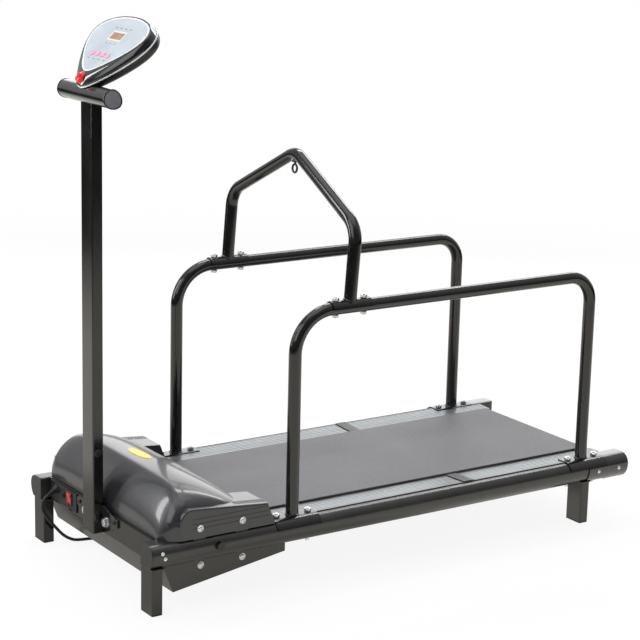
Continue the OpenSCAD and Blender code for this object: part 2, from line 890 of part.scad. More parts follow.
module drive_belt() {
    a = [motor_x, motor_z];
    b = [front_roller_x, roller_z];
    ra = motor_pulley_d / 2 + run_gap;
    rb = drive_pulley_d / 2 + run_gap;
    color(dark) centred() translate([0, pulley_y + pulley_w / 2, 0]) along_y(drive_belt_w) difference() {
        polygon(belt_line(a, ra + drive_belt_t, b, rb + drive_belt_t));
        polygon(belt_line(a, ra, b, rb));
    }
}

module motor_controller() {
    x = beam_x + beam_d + 0.4 * beam_d;
    color("#46484b") centred() translate([x, plate_y0 + fin_h, leg_h]) {
        cube([board_l, board_w, board_h]);
        for (i = [0:fin_count - 1])
            translate([i * (board_l - fin_t) / (fin_count - 1), 0, board_h]) cube([fin_t, board_w, fin_h]);
    }
}

// Belly pan, tabs and cover bolts

pan_line = [[pan_front + pan_len, pan_top], [pan_front + pan_len, pan_top - pan_rear_drop],
    [pan_front + pan_lean, pan_top - pan_drop], [pan_front, pan_top - pan_rear_drop / 2], [pan_front, pan_top]];

module belly_pan() {
    color(black) centred() difference() {
        union() {
            along_y(2 * pan_y) polygon(concat(pan_line, backwards(side_line(pan_line, -pan_t))));
            both_sides() translate([0, pan_y - pan_t / 2, 0]) along_y(pan_t) polygon(pan_line);
        }
        for (x = pan_bolt_xs) translate([x, 0, pan_top - pan_bolt_drop])
            bar_y(cover_bolt_d + 2 * bolt_gap, 2 * pan_y + 2 * over);
    }
}

module rail_tabs() {
    color(black) centred() both_sides() {
        for (x = pan_bolt_xs) difference() {
            union() {
                box([x - tab_w / 2, pan_y - pan_t - tab_t, pan_top - 2 * pan_bolt_drop],
                    [x + tab_w / 2, pan_y - pan_t, leg_h]);
                box([x - tab_w / 2, pan_y - pan_t - tab_w, leg_h - tab_t], [x + tab_w / 2, pan_y - pan_t, leg_h]);
            }
            translate([x, pan_y, pan_top - pan_bolt_drop]) bar_y(cover_bolt_d + 2 * bolt_gap, 4 * tab_t + 4 * pan_t);
        }
        for (x = hood_bolt_xs) difference() {
            box([x - tab_w / 2, cheek_y - hood_wall - tab_t, leg_h + rail_h / 2],
                [x + tab_w / 2, cheek_y - hood_wall, hood_z + 1.6 * hood_bolt_rise]);
            translate([0, rail_in, leg_h]) along_x(rail_len) polygon(rail_outline(0));
            translate([x, cheek_y, hood_z + hood_bolt_rise])
                bar_y(cover_bolt_d + 2 * bolt_gap, 4 * tab_t + 4 * hood_wall);
        }
    }
}

// Button-head bolt along -Y, seated on y = 0
module cover_bolt(reach) {
    rotate([90, 0, 0]) {
        translate([0, 0, -reach]) cylinder(d = cover_bolt_d, h = reach + over);
        cylinder(d = cover_wash_d, h = cover_wash_t);
        translate([0, 0, cover_wash_t]) difference() {
            cylinder(d1 = cover_head_d, d2 = 0.7 * cover_head_d, h = cover_head_h);
            translate([0, 0, cover_head_h / 2]) hex(cover_head_d / 3, cover_head_h);
        }
    }
}

// Small pan-head screw along -Y, seated on y = 0
module rail_screw(reach) {
    rotate([90, 0, 0]) {
        translate([0, 0, -reach]) cylinder(d = rail_screw_d, h = reach + rail_screw_head_h / 2);
        cylinder(d1 = rail_screw_head_d, d2 = 0.7 * rail_screw_head_d, h = rail_screw_head_h);
    }
}

module cover_bolts() {
    color(zinc) centred() both_sides() mirror([0, 1, 0]) {
        for (p = front_screws) translate([p[0], -rail_out - seat_gap, leg_h + p[1] * rail_h])
            rail_screw(rail_screw_reach);
        for (p = rear_screws) translate([p[0], -rail_out - 2 * seat_gap - sleeve_t, leg_h + p[1] * rail_h])
            rail_screw(rail_screw_reach);
        for (x = pan_bolt_xs) translate([x, -pan_y, pan_top - pan_bolt_drop]) cover_bolt(pan_t + tab_t + bolt_reach);
        for (x = hood_bolt_xs)
            translate([x, -cheek_y, hood_z + hood_bolt_rise]) cover_bolt(hood_wall + tab_t);
    }
}

// Motor hood: a domed cover with a side cheek over each of its flanks

crown_x = hood_x + crown_share * hood_len;
dome_x1 = hood_x + hood_len;
wing_x1 = dome_x1 + wing_len;

// Height of the dome over its base at x, shrunk by the wall w
function dome_h(x, w) =
    let (f = min(1, max(0, (x - hood_x - w) / (crown_x - hood_x - w))))
    let (r = max(0, (x - crown_x) / (dome_x1 - crown_x)))
    x <= crown_x
        ? (hood_h - w) * (lip_share + (1 - lip_share) * pow(1 - pow(1 - f, front_power), 1 / front_power))
        : hood_h - w - (hood_h - hood_rear_h) * r * r;

// Half width of the dome at x, with rounded front corners
function dome_w(x, w) =
    let (c = min(1, max(0, (hood_x + w + corner_r - x) / corner_r)))
    hood_half - w - corner_r * (1 - sqrt(1 - c * c));

// Point of the dome at x and arch angle a
function dome_pt(x, a, w, rise) = [x, dome_w(x, w) * sign(cos(a)) * pow(abs(cos(a)), 2 / side_power),
    hood_z + rise * dome_h(x, w) * pow(sin(a), 2 / side_power)];
function arch_angle(i) = skirt_angle + (180 - 2 * skirt_angle) * i / dome_cols;

// One row of the hood skin: a skirt point, the arch and the other skirt point
function dome_row(x, w, rise) = concat([[x, dome_w(x, w), hood_z]],
    [for (i = [0:dome_cols]) dome_pt(x, arch_angle(i), w, rise)], [[x, -dome_w(x, w), hood_z]]);

function dome_xs(w) = concat([hood_x + w + lip_run],
    [for (i = [1:front_rows]) hood_x + w + (crown_x - hood_x - w) * (1 - cos(90 * i / front_rows))],
    [for (i = [1:rear_rows]) crown_x + (dome_x1 - crown_x) * i / rear_rows]);
function dome_rows(w) = concat([dome_row(hood_x + w, w, 0)], [for (x = dome_xs(w)) dome_row(x, w, 1)]);

// Closed shell between two equal grids of points, joined along their four edges
module shell(outer, inner) {
    m = len(outer);
    n = len(outer[0]);
    pts = concat([for (r = outer) for (p = r) p], [for (r = inner) for (p = r) p]);
    skin = [for (j = [0:m - 2]) for (i = [0:n - 2]) let (k = j * n + i)
        for (t = [[k, k + n, k + 1], [k + 1, k + n, k + n + 1]]) t];
    back = [for (t = skin) [t[0] + m * n, t[2] + m * n, t[1] + m * n]];
    edge = concat([for (i = [0:n - 2]) [i + 1, i]], [for (j = [0:m - 2]) [j * n, j * n + n]],
        [for (i = [0:n - 2]) [(m - 1) * n + i, (m - 1) * n + i + 1]],
        [for (j = [0:m - 2]) [j * n + 2 * n - 1, j * n + n - 1]]);
    rim = [for (e = edge) for (t = [[e[0], e[0] + m * n, e[1]], [e[1], e[0] + m * n, e[1] + m * n]]) t];
    polyhedron(points = pts, faces = concat(rim, back, skin), convexity = 8);
}

module motor_hood() {
    x = dome_x1 - hood_wall;
    top = [for (i = [0:dome_cols]) let (p = dome_pt(dome_x1, arch_angle(i), hood_wall + seat_gap, 1))
        if (abs(p[1]) < wing_y - part_gap) [p[1], p[2]]];
    y = wing_y - part_gap;
    color(gloss) centred() {
        shell(dome_rows(0), dome_rows(hood_wall));
        translate([x, 0, 0]) along_x(hood_wall)
            polygon(concat([[y, rear_wall_z], [y, top[0][1]]], top, [[-y, top[0][1]], [-y, rear_wall_z]]));
    }
}

// Flank of the dome with a small gap, cut out of the cheeks
function flank_ring(x, xx) = concat([[xx, hood_half / 2, hood_z - over], [xx, dome_w(x, -part_gap), hood_z - over]],
    [for (i = [0:round(dome_cols / 3)]) let (p = dome_pt(x, arch_angle(i), -part_gap, 1)) [xx, p[1], p[2]]],
    [[xx, hood_half / 2, dome_pt(x, arch_angle(round(dome_cols / 3)), -part_gap, 1)[2]]]);

module dome_flank() {
    xs = [for (x = dome_xs(0)) if (x > hood_x + 0.3 * cheek_set) x];
    loft([for (x = xs) flank_ring(x, x == dome_x1 ? x + part_gap : x)]);
}

// Top of a cheek at x, behind its rounded front corner
function cheek_z(x) = let (x0 = hood_x + cheek_set + cheek_r)
    hood_z + cheek_h - (cheek_h - cheek_rear_h) * (x - x0) / (wing_x1 - wing_bevel - x0);

// Side outline of a cheek, shrunk by w and lowered by drop
function cheek_o(w, drop) = let (x0 = hood_x + cheek_set) concat(
    [[x0 + w, hood_z - drop]],
    arc([x0 + cheek_r, hood_z + cheek_h - cheek_r], cheek_r - w, 180, 90, 8),
    [[wing_x1 - wing_bevel - w, cheek_z(wing_x1 - wing_bevel) - w], [wing_x1 - w, hood_z - drop]]);
function wing_o(x0, w, drop) = [[x0, hood_z - drop], [x0, cheek_z(x0) - w],
    [wing_x1 - wing_bevel - w, cheek_z(wing_x1 - wing_bevel) - w], [wing_x1 - w, hood_z - drop]];

module slab(y0, y1) {
    translate([0, (y0 + y1) / 2, 0]) along_y(y1 - y0) children();
}

module hood_cheeks() {
    x1 = dome_x1 + part_gap;
    color(gloss) centred() both_sides() {
        difference() {
            union() {
                slab(cheek_y - cheek_in, cheek_y) polygon(cheek_o(0, 0));
                slab(wing_y, cheek_y - cheek_in) polygon(wing_o(dome_x1 + part_gap, 0, 0));
            }
            slab(cheek_y - cheek_in - over, cheek_y - hood_wall) polygon(cheek_o(hood_wall, over));
            slab(wing_y + hood_wall, cheek_y - cheek_in) polygon(wing_o(dome_x1 - over, hood_wall, over));
            dome_flank();
            box([dome_x1 - over, 0, hood_z - over], [wing_x1 + over, wing_y + 2 * hood_wall, belt_top + 2 * over]);
            for (x = hood_bolt_xs) translate([x, cheek_y, hood_z + hood_bolt_rise])
                bar_y(cover_bolt_d + 2 * bolt_gap, 4 * hood_wall);
            for (s = groove_shares)
                box([hood_x + cheek_set + cheek_r, cheek_y - groove_depth, hood_z + s * cheek_h],
                    [wing_x1 - wing_bevel, cheek_y + over, hood_z + s * cheek_h + groove_w]);
        }
        box([x1, wing_y + hood_wall / 2, wing_wall_z],
            [x1 + hood_wall, cheek_y - cheek_in + hood_wall, cheek_z(x1 + hood_wall) - hood_wall / 2]);
    }
}

// Power panel, rocker and gland

module power_panel() {
    color(dark) centred() translate([beam_x - panel_t, reset_y, rocker_z]) rotate([0, -90, 0]) {
        cylinder(d = reset_d, h = reset_h);
        cylinder(d = reset_d / 2, h = 2 * reset_h);
    }
    color(dark) centred() difference() {
        box([beam_x - panel_t, panel_y0, panel_z0], [beam_x, panel_y1, panel_z0 + panel_h]);
        translate([beam_x - panel_t - over, rocker_y, rocker_z])
            box([0, -frame_w / 2 + frame_t, -frame_hgt / 2 + frame_t],
                [panel_t + 2 * over, frame_w / 2 - frame_t, frame_hgt / 2 - frame_t]);
    }
}

module switch_frame() {
    gap_w = rocker_w / 2 + rocker_gap;
    gap_h = rocker_h / 2 + rocker_gap;
    color(gloss) centred() translate([beam_x - panel_t, rocker_y, rocker_z]) difference() {
        union() {
            box([-frame_t, -frame_w / 2, -frame_hgt / 2], [0, frame_w / 2, frame_hgt / 2]);
            box([0, -frame_w / 2 + frame_t + part_gap, -frame_hgt / 2 + frame_t + part_gap],
                [frame_depth, frame_w / 2 - frame_t - part_gap, frame_hgt / 2 - frame_t - part_gap]);
        }
        box([-frame_t - over, -gap_w, -gap_h], [frame_depth - frame_t, gap_w, gap_h]);
        translate([rocker_pivot, 0, 0]) bar_y(pin_d + 2 * axle_fit, rocker_w + 2 * frame_t);
    }
}

module rocker() {
    half = rocker_h / 2;
    color("#c3161c") centred() translate([beam_x - panel_t + rocker_pivot, rocker_y, rocker_z])
        rotate([0, -rocker_tilt, 0]) {
            along_y(rocker_w) intersection() {
                circle(r = half);
                polygon([[-rocker_pivot - rocker_rise, half], [-rocker_pivot - rocker_rise / 2, 0],
                    [-rocker_pivot - rocker_rise, -half], [rocker_back / 2, -half], [rocker_back, 0],
                    [rocker_back / 2, half]]);
            }
            bar_y(pin_d, frame_w - 2 * frame_t - 2 * part_gap);
        }
}

gland_x = beam_x - panel_t;
gland_dir = [-cos(gland_tilt), 0, -sin(gland_tilt)];
cord_start = [gland_x, gland_y, gland_z] + gland_len * gland_dir;

module cord_gland() {
    color(gloss) centred() translate([gland_x, gland_y, gland_z]) {
        difference() {
            rotate([0, -90 - gland_tilt, 0]) cylinder(d1 = gland_root_d, d2 = gland_tip_d, h = gland_len);
            box([0, -gland_root_d, -gland_root_d], [gland_root_d, gland_root_d, gland_root_d]);
        }
        translate([-gland_flange_t, 0, 0]) bar_x(gland_flange_d, gland_flange_t);
    }
}

// Mains lead

cord_path = concat([cord_start, cord_start + cord_d * gland_dir], route,
    [[coil_x - coil_lead, coil_y + coil_r, coil_z]]);

coil_in = coil_r - coil_pitch * coil_turns;
coil_total = 2 * coil_turns + 0.5;

// Radius and height of the coil after u turns: in along the floor, up in a half turn, out on top
function coil_radius(u) =
    u < coil_turns ? coil_r - coil_pitch * u
    : u < coil_turns + 0.5 ? coil_in - coil_pitch * min(u - coil_turns, coil_turns + 0.5 - u)
    : coil_in + coil_pitch * (u - coil_turns - 0.5);
function coil_height(u) =
    let (t = min(1, max(0, 2 * (u - coil_turns))))
    coil_z + coil_pitch * t * t * (3 - 2 * t);

coil_mid = [for (i = [0:coil_total * coil_steps]) let (u = i / coil_steps)
    [coil_x + coil_radius(u) * sin(360 * u), coil_y + coil_radius(u) * cos(360 * u), coil_height(u)]];
coil_path = concat([[coil_x - coil_lead, coil_y + coil_r, coil_z]], coil_mid,
    [[coil_x - coil_tail / 2, coil_y - coil_r, coil_z + coil_pitch],
    [coil_x - coil_tail, coil_y - coil_r, coil_z + coil_pitch]]);

function length_of(p, i = 1, sum = 0) = i >= len(p) ? sum : length_of(p, i + 1, sum + norm(p[i] - p[i - 1]));
coil_free = min([for (i = [0:len(coil_mid) - 1]) for (j = [i + coil_steps / 2:len(coil_mid) - 1])
    norm(coil_mid[i] - coil_mid[j])]) - cord_d;
echo(coil_least_gap = coil_free, cord_length = gland_len + length_of(cord_path) + length_of(coil_path) + plug_relief);

module power_cord() {
    color(dark) centred() cord(cord_path, cord_d, cord_sides, [0, 1, 0]);
}

module cord_coil() {
    color(dark) centred() cord(coil_path, cord_d, coil_sides, [0, 0, 1]);
}

module cord_tie() {
    lo = coil_in - coil_pitch / 2 - cord_d / 2 - tie_gap;
    hi = coil_r + cord_d / 2 + tie_gap;
    top = coil_z + coil_pitch + cord_d / 2 + tie_gap;
    low = coil_z - cord_d / 2 - tie_gap;
    color(gloss) centred() translate([coil_x, coil_y, 0]) difference() {
        box([lo - tie_t, -tie_w / 2, low - tie_t], [hi + tie_t, tie_w / 2, top + tie_t]);
        box([lo, -tie_w / 2 - over, low], [hi, tie_w / 2 + over, top]);
    }
}

module power_plug() {
    z = coil_z + coil_pitch;
    h = 2 * z;
    color(gloss) centred() translate([coil_x - coil_tail, coil_y - coil_r, z]) rotate([0, -90, 0]) {
        cylinder(d1 = gland_tip_d, d2 = gland_root_d, h = plug_relief);
        translate([0, 0, plug_relief]) linear_extrude(plug_body) polygon(rect(h, plug_w, plug_round));
        translate([0, 0, plug_relief + plug_body]) {
            for (s = [-1, 1]) translate([blade_w / 2, s * blade_pitch / 2, 0])
                translate([-blade_w / 2, -blade_t / 2, 0]) cube([blade_w, blade_t, blade_l]);
            translate([-ground_drop, 0, 0]) cylinder(d = ground_d, h = pin_l);
        }
    }
}

// Mast and its foot

mast_x = leg_d / 2 - mast_lead;

module mast() {
    color(black) centred() difference() {
        translate([mast_x, 0, leg_h + plug_t]) upright(tbar_z - leg_h - plug_t);
        translate([tbar_x, 0, tbar_z]) along_y(2 * leg_w) polygon(tbar_o(seat_gap));
        translate([mast_x, -leg_w / 2, grommet_z_share * mast_h]) bar_y(grommet_d, leg_w / 2);
    }
}

module mast_wings() {
    color(black) centred() both_sides() difference() {
        translate([beam_x - wing_t, 0, 0]) along_x(wing_t) polygon([
            [leg_w / 2, leg_h + 0.6 * wing_t * wing_t], [leg_w / 2 + 0.4 * wing_span, leg_h + 3 * wing_t],
            [leg_w / 2 + wing_span, mast_bolt_z], [leg_w / 2 + wing_span, mast_bolt_z + 4 * wing_t],
            [leg_w / 2 + 2 * wing_t, wing_top], [leg_w / 2, wing_top]]);
        translate([beam_x - wing_t - over, mast_bolt_y, mast_bolt_z])
            bar_x(mast_bolt_d + 2 * bolt_gap, wing_t + 2 * over);
        translate([beam_x - wing_t - over, small_y, small_z]) bar_x(small_d + 2 * bolt_gap, wing_t + 2 * over);
    }
}

module mast_bolts() {
    x = beam_x - wing_t;
    color(zinc) centred() both_sides() {
        translate([x, mast_bolt_y, mast_bolt_z]) {
            bar_x(mast_bolt_d, wing_t + steel_wall + bolt_reach);
            rotate([0, -90, 0]) {
                cylinder(d = mast_wash_d, h = mast_wash_t);
                translate([0, 0, mast_wash_t]) hex(mast_bolt_af, mast_bolt_head);
            }
        }
        translate([x, small_y, small_z]) {
            bar_x(small_d, wing_t + steel_wall + bolt_reach);
            rotate([0, -90, 0]) cylinder(d1 = small_head_d, d2 = 0.7 * small_head_d, h = small_head_h);
        }
    }
}

module t_bar() {
    l = tbar_len - 2 * tbar_cap_t;
    color(gloss) centred() translate([tbar_x, 0, tbar_z]) difference() {
        along_y(l) polygon(tbar_o(0));
        along_y(l + 2 * over) polygon(tbar_o(-tbar_wall));
    }
}

module t_bar_caps() {
    color(silver) centred() both_sides() translate([tbar_x, tbar_len / 2, tbar_z]) {
        translate([0, -tbar_cap_t / 2, 0]) along_y(tbar_cap_t) polygon(tbar_o(tbar_cap_rim));
        translate([0, -tbar_cap_t - cap_plug / 2, 0]) along_y(cap_plug) polygon(tbar_o(-tbar_wall - seat_gap));
    }
}

// Console, drawn flat: s along the face from its tip, h up from the face

module on_console() {
    centred() translate([tip_x, 0, tip_z]) rotate([0, -console_tilt, 0]) children();
}

module console_shell() {
    color(gloss) difference() {
        on_console() loft([ring(shrink(house_o, shell_c, shell_end_share), -bezel_h - trim_t - shell_h),
            ring(shrink(house_o, shell_c, shell_mid_share), -bezel_h - trim_t - shell_mid),
            ring(house_o, -bezel_h - trim_t)]);
        centred() translate([tbar_x, 0, tbar_z]) along_y(tbar_len + 2 * over) polygon(tbar_o(seat_gap));
    }
}

module console_trim() {
    color(silver) on_console() translate([0, 0, -bezel_h - trim_t]) linear_extrude(trim_t) polygon(trim_o);
}

module console_bezel() {
    color(dark) on_console() difference() {
        loft([ring(house_o, -bezel_h), ring(house_o, -bezel_h + bezel_wall_h),
            ring(blend(house_o, rim_o, 0.4), -bezel_mid), ring(rim_o, 0)]);
        translate([0, 0, -pocket_h]) linear_extrude(pocket_h + over)
            polygon(egg(-part_gap, face_len + 2 * part_gap, face_half + part_gap, face_taper));
        translate([key_s, 0, -key_seat]) cylinder(d = key_d + 2 * part_gap, h = key_seat + over);
    }
}

module pill(w, l, h) {
    linear_extrude(h) {
        for (s = [-1, 1]) translate([0, s * (w - l) / 2]) circle(d = l);
        square([l, w - l], center = true);
    }
}

button_ys = [for (i = [-1.5:1:1.5]) i * button_pitch];

module face_plate() {
    color("#b4bcc6") on_console() translate([0, 0, -face_t]) difference() {
        linear_extrude(face_t) polygon(face_o);
        for (y = button_ys) translate([button_s, y, -over])
            pill(button_w + 2 * part_gap, button_l + 2 * part_gap, face_t + 2 * over);
        translate([window_s, 0, -over]) linear_extrude(face_t + 2 * over)
            square([window_l, window_w], center = true);
    }
}

module display_window() {
    color("#a0835a") on_console() translate([window_s, 0, -pocket_h + board_t]) {
        linear_extrude(pocket_h - board_t) square([window_l - 2 * seat_gap, window_w - 2 * seat_gap], center = true);
    }
}

module console_board() {
    color("#3c6b4a") on_console() translate([0, 0, -pocket_h]) {
        linear_extrude(board_t) polygon(shrink(face_o, house_c, 0.93));
        for (y = button_ys) translate([button_s, y, board_t])
            cylinder(d = tact_d, h = pocket_h - board_t - face_t - flange_t - button_travel - 2 * tact_gap);
    }
}

// Push button with a flange that keeps it behind the face plate
module button(i) {
    on_console() translate([button_s, button_ys[i], 0]) {
        translate([0, 0, -face_t - tact_gap]) pill(button_w, button_l, face_t + tact_gap + button_up);
        translate([0, 0, -face_t - tact_gap - flange_t])
            pill(button_w + 2 * button_flange, button_l + 2 * button_flange, flange_t);
    }
}

module start_button() {
    color("#d07f8c") button(3);
}

module faster_button() {
    color("#d07f8c") button(2);
}

module slower_button() {
    color("#d07f8c") button(1);
}

module stop_button() {
    color("#d07f8c") button(0);
}

module safety_key() {
    color("#c8141b") on_console() translate([key_s, 0, -key_seat + seat_gap]) {
        cylinder(d = key_d, h = key_disc);
        translate([0, 0, key_disc]) linear_extrude(key_fin_h) square([key_fin_t, key_fin_l], center = true);
        translate([0, 0, key_disc + key_fin_h]) rotate([0, 90, 0])
            cylinder(d = key_fin_l, h = key_fin_t, center = true);
    }
}

// Handrails and arch

module saddle_env(l) {
    translate([-l / 2, rail_in, leg_h]) along_x(l) polygon(rail_outline(seat_gap + saddle_t));
}

module handrail() {
    z0 = rail_top;
    difference() {
        translate([post_front, post_y, z0]) rotate([0, 0, -90])
            run(handrail_z - handrail_bend - z0) bend(handrail_bend, 90)
            run(post_rear - post_front - handrail_bend - rear_bend) bend(rear_bend, 90)
            run(handrail_z - rear_bend - z0);
        for (x = saddle_xs) translate([x, 0, 0]) saddle_env(2 * tube_d);
        for (s = [-1, 1]) translate([arch_x + s * arch_bolt_pitch / 2, post_y, handrail_z - tube_d])
            cylinder(d = bolt_d + 2 * bolt_gap, h = 2 * tube_d);
    }
}

module left_handrail() {
    color(black) centred() mirror([0, 1, 0]) handrail();
}

module right_handrail() {
    color(black) centred() handrail();
}

arch_r = tube_d / 2 + seat_gap;

// Folded plates over the rails under each post, and half shells over the handrails under the arch
module saddle_feet() {
    color(black) centred() both_sides() {
        for (x = saddle_xs) difference() {
            translate([x, 0, 0]) saddle_env(saddle_l);
            translate([x - saddle_l, rail_in, leg_h]) along_x(2 * saddle_l) polygon(rail_outline(seat_gap));
            box([x - saddle_l, rail_in - rail_w, 0], [x + saddle_l, rail_out + rail_w, rail_top - saddle_skirt]);
            box([x - saddle_l, rail_in - rail_w, 0], [x + saddle_l, rail_in + part_gap, 2 * rail_top]);
            for (s = [-1, 1]) translate([x + s * saddle_bolt_pitch / 2, post_y, rail_top - over])
                cylinder(d = bolt_d + 2 * bolt_gap, h = saddle_t + 2 * over);
        }
        translate([arch_x, post_y, handrail_z]) difference() {
            translate([-arch_saddle_l / 2, 0, 0]) bar_x(2 * (arch_r + saddle_t), arch_saddle_l);
            translate([-arch_saddle_l, 0, 0]) bar_x(2 * arch_r, 2 * arch_saddle_l);
            box([-arch_saddle_l, -tube_d, -tube_d], [arch_saddle_l, tube_d, 0]);
            for (s = [-1, 1]) translate([s * arch_bolt_pitch / 2, 0, 0])
                cylinder(d = bolt_d + 2 * bolt_gap, h = tube_d);
        }
    }
}

// Upright through-bolt with its head at z0 and its nut seated on z1
module through_bolt(z0, z1) {
    translate([0, 0, z0 - bolt_head_h]) hex(bolt_af, bolt_head_h);
    translate([0, 0, z0 - bolt_head_h]) cylinder(d = bolt_d, h = z1 - z0 + bolt_head_h + nut_h + bolt_tip);
    translate([0, 0, z1]) hex(bolt_af, nut_h);
}

module saddle_bolts() {
    color(zinc) centred() both_sides() {
        for (x = saddle_bolt_xs) translate([x, post_y, 0]) through_bolt(leg_h, rail_top + seat_gap + saddle_t);
        for (s = [-1, 1]) translate([arch_x + s * arch_bolt_pitch / 2, post_y, 0])
            through_bolt(handrail_z - tube_d / 2, handrail_z + arch_r + saddle_t);
    }
}

knee_cut = arch_bend * tan(knee_turn / 2);
peak_cut = peak_bend * tan(arch_slope);
slope_run = norm([post_y, peak_rise]) - knee_cut - peak_cut;

module on_arch() {
    translate([arch_x, 0, handrail_z]) rotate([0, arch_lean, 0]) children();
}

module arch() {
    color(black) centred() difference() {
        on_arch() translate([0, -post_y, 0])
            run(knee_rise - knee_cut) bend(arch_bend, knee_turn) run(slope_run) bend(peak_bend, peak_turn)
            run(slope_run) bend(arch_bend, knee_turn) run(knee_rise - knee_cut);
        both_sides() translate([arch_x - arch_saddle_l, post_y, handrail_z])
            bar_x(2 * (arch_r + saddle_t + seat_gap), 2 * arch_saddle_l);
    }
}

// Height of the underside of the arch at its middle, over the handrail axis
peak_under = knee_rise + peak_rise - peak_bend * (1 / cos(arch_slope) - 1) - tube_d / 2;

module leash_eye() {
    color(zinc) centred() on_arch() translate([0, 0, peak_under - eye_drop]) {
        translate([0, 0, -eye_disc_t]) cylinder(d = eye_disc_d, h = eye_disc_t);
        translate([0, 0, -eye_disc_t - eye_neck]) cylinder(d = eye_wire, h = eye_neck);
        translate([0, 0, -eye_disc_t - eye_neck - eye_r]) rotate([0, 90, 0])
            rotate_extrude() translate([eye_r, 0]) circle(d = eye_wire);
    }
}

left_side_rail();
right_side_rail();
rail_front_caps();
rail_rear_caps();
front_beam();
cross_beams();
legs();
tube_plugs();
deck_board();
running_belt();
side_strips();
strip_clips();
front_roller();
rear_roller();
roller_axles();
front_bearings();
rear_bearings();
roller_hangers();
frame_bolts();
drive_pulley();
drive_motor();
motor_plate();
motor_pulley();
drive_belt();
motor_controller();
belly_pan();
rail_tabs();
cover_bolts();
motor_hood();
hood_cheeks();
power_panel();
switch_frame();
rocker();
cord_gland();
power_cord();
cord_coil();
cord_tie();
power_plug();
mast();
mast_wings();
mast_bolts();
t_bar();
t_bar_caps();
console_shell();
console_trim();
console_bezel();
face_plate();
display_window();
console_board();
start_button();
stop_button();
faster_button();
slower_button();
safety_key();
left_handrail();
right_handrail();
saddle_feet();
saddle_bolts();
arch();
leash_eye();
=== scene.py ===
"""Pet treadmill: fine shapes and finishes of its pieces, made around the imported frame."""

import math

import bmesh
import bpy
from mathutils import Matrix, Vector


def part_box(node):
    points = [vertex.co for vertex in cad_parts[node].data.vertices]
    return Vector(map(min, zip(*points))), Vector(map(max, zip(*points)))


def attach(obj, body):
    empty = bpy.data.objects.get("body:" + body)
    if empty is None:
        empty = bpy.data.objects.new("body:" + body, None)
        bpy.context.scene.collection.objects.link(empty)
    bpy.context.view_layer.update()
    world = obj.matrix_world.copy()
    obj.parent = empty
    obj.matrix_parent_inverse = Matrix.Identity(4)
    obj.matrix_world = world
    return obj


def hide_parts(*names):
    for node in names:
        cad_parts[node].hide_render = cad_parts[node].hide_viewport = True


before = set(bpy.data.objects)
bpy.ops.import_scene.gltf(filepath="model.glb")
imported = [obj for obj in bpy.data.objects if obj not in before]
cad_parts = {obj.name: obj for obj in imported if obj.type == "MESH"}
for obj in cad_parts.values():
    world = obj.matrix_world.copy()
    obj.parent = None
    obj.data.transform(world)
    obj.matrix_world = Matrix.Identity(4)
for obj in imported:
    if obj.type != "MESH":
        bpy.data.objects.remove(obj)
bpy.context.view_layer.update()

bl_info = {
    "name": "Pet treadmill",
    "version": (1, 0, 0),
    "blender": (4, 5, 0),
    "location": "View3D > Sidebar > Treadmill",
    "description": "Makes the pieces and finishes of a pet treadmill on its packed frame",
    "category": "Object",
}

MM = 0.001
# Front faces of the front legs: x is counted from here, in millimetres, as in the part's source
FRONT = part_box("left_side_rail")[0].x
SMOOTH_ANGLE, DOME_ANGLE = math.radians(35), math.radians(50)
HANDS = {-1: "left", 1: "right"}

# Stage: the camera's place, with its azimuth, pitch and roll in degrees, then each light's place, aim
# and, in metres, its size
CAMERA_AT, CAMERA_TURN, SENSOR_W = (-1805.06, -3562.56, 1540.73), (-33.83, 13.62, 1.38), 36.0
MIDDLE = (600, 0, 400)
LIGHTS = {
    "key": ((300, -300, 3200), MIDDLE, (3.2, 2.6)),
    "back": ((2100, 2300, 1500), MIDDLE, (3.6, 2.4)),
    "side": ((-1500, 1250, 1350), (40, -240, 200), (0.34, 1.7)),
    "strip": ((1800, 760, 2150), (1800, -280, 150), (2.6, 0.35)),
    "front": ((-1900, -500, 2000), (100, 0, 300), (2.0, 1.8)),
}
WHITE = (1.0, 1.0, 1.0, 1.0)
# World: the way to its bright side, and its level over the span of directions
BRIGHT_WAY, BRIGHT_SPAN = (0.45, 0.62, 0.64), (-0.45, 0.75, 0.26, 1.0)
# Floor: size and drop in metres, and the loss of its glow in reflections, in a patch below and far away.
# That glow is a painted reflection, and the patch below the machine is painted shade.
FLOOR_HALF, FLOOR_DROP, FLOOR_ROUGH, FLOOR_SHINE = 60.0, 0.0006, 0.9, 0.1
SHADE_PATCH_PLACE, SHADE_PATCH_SCALE = (-0.25, 0.35, 0.0), (0.75, 0.75, 1.0)
SHADE_PATCH_LOSS, FAR_LOSS = (0.9, 1.1, -0.5, 0.0), (2.2, 4.3, 0.0, -0.95)
# Warm painted tint of the floor's glow in reflections, then how much of the floor the camera sees as plain
# white, near and, less, far away
GLOW_TINT, NEAR_SHARE, FAR_GAIN = (1.0, 0.97, 0.89, 1.0), 0.9, -0.1

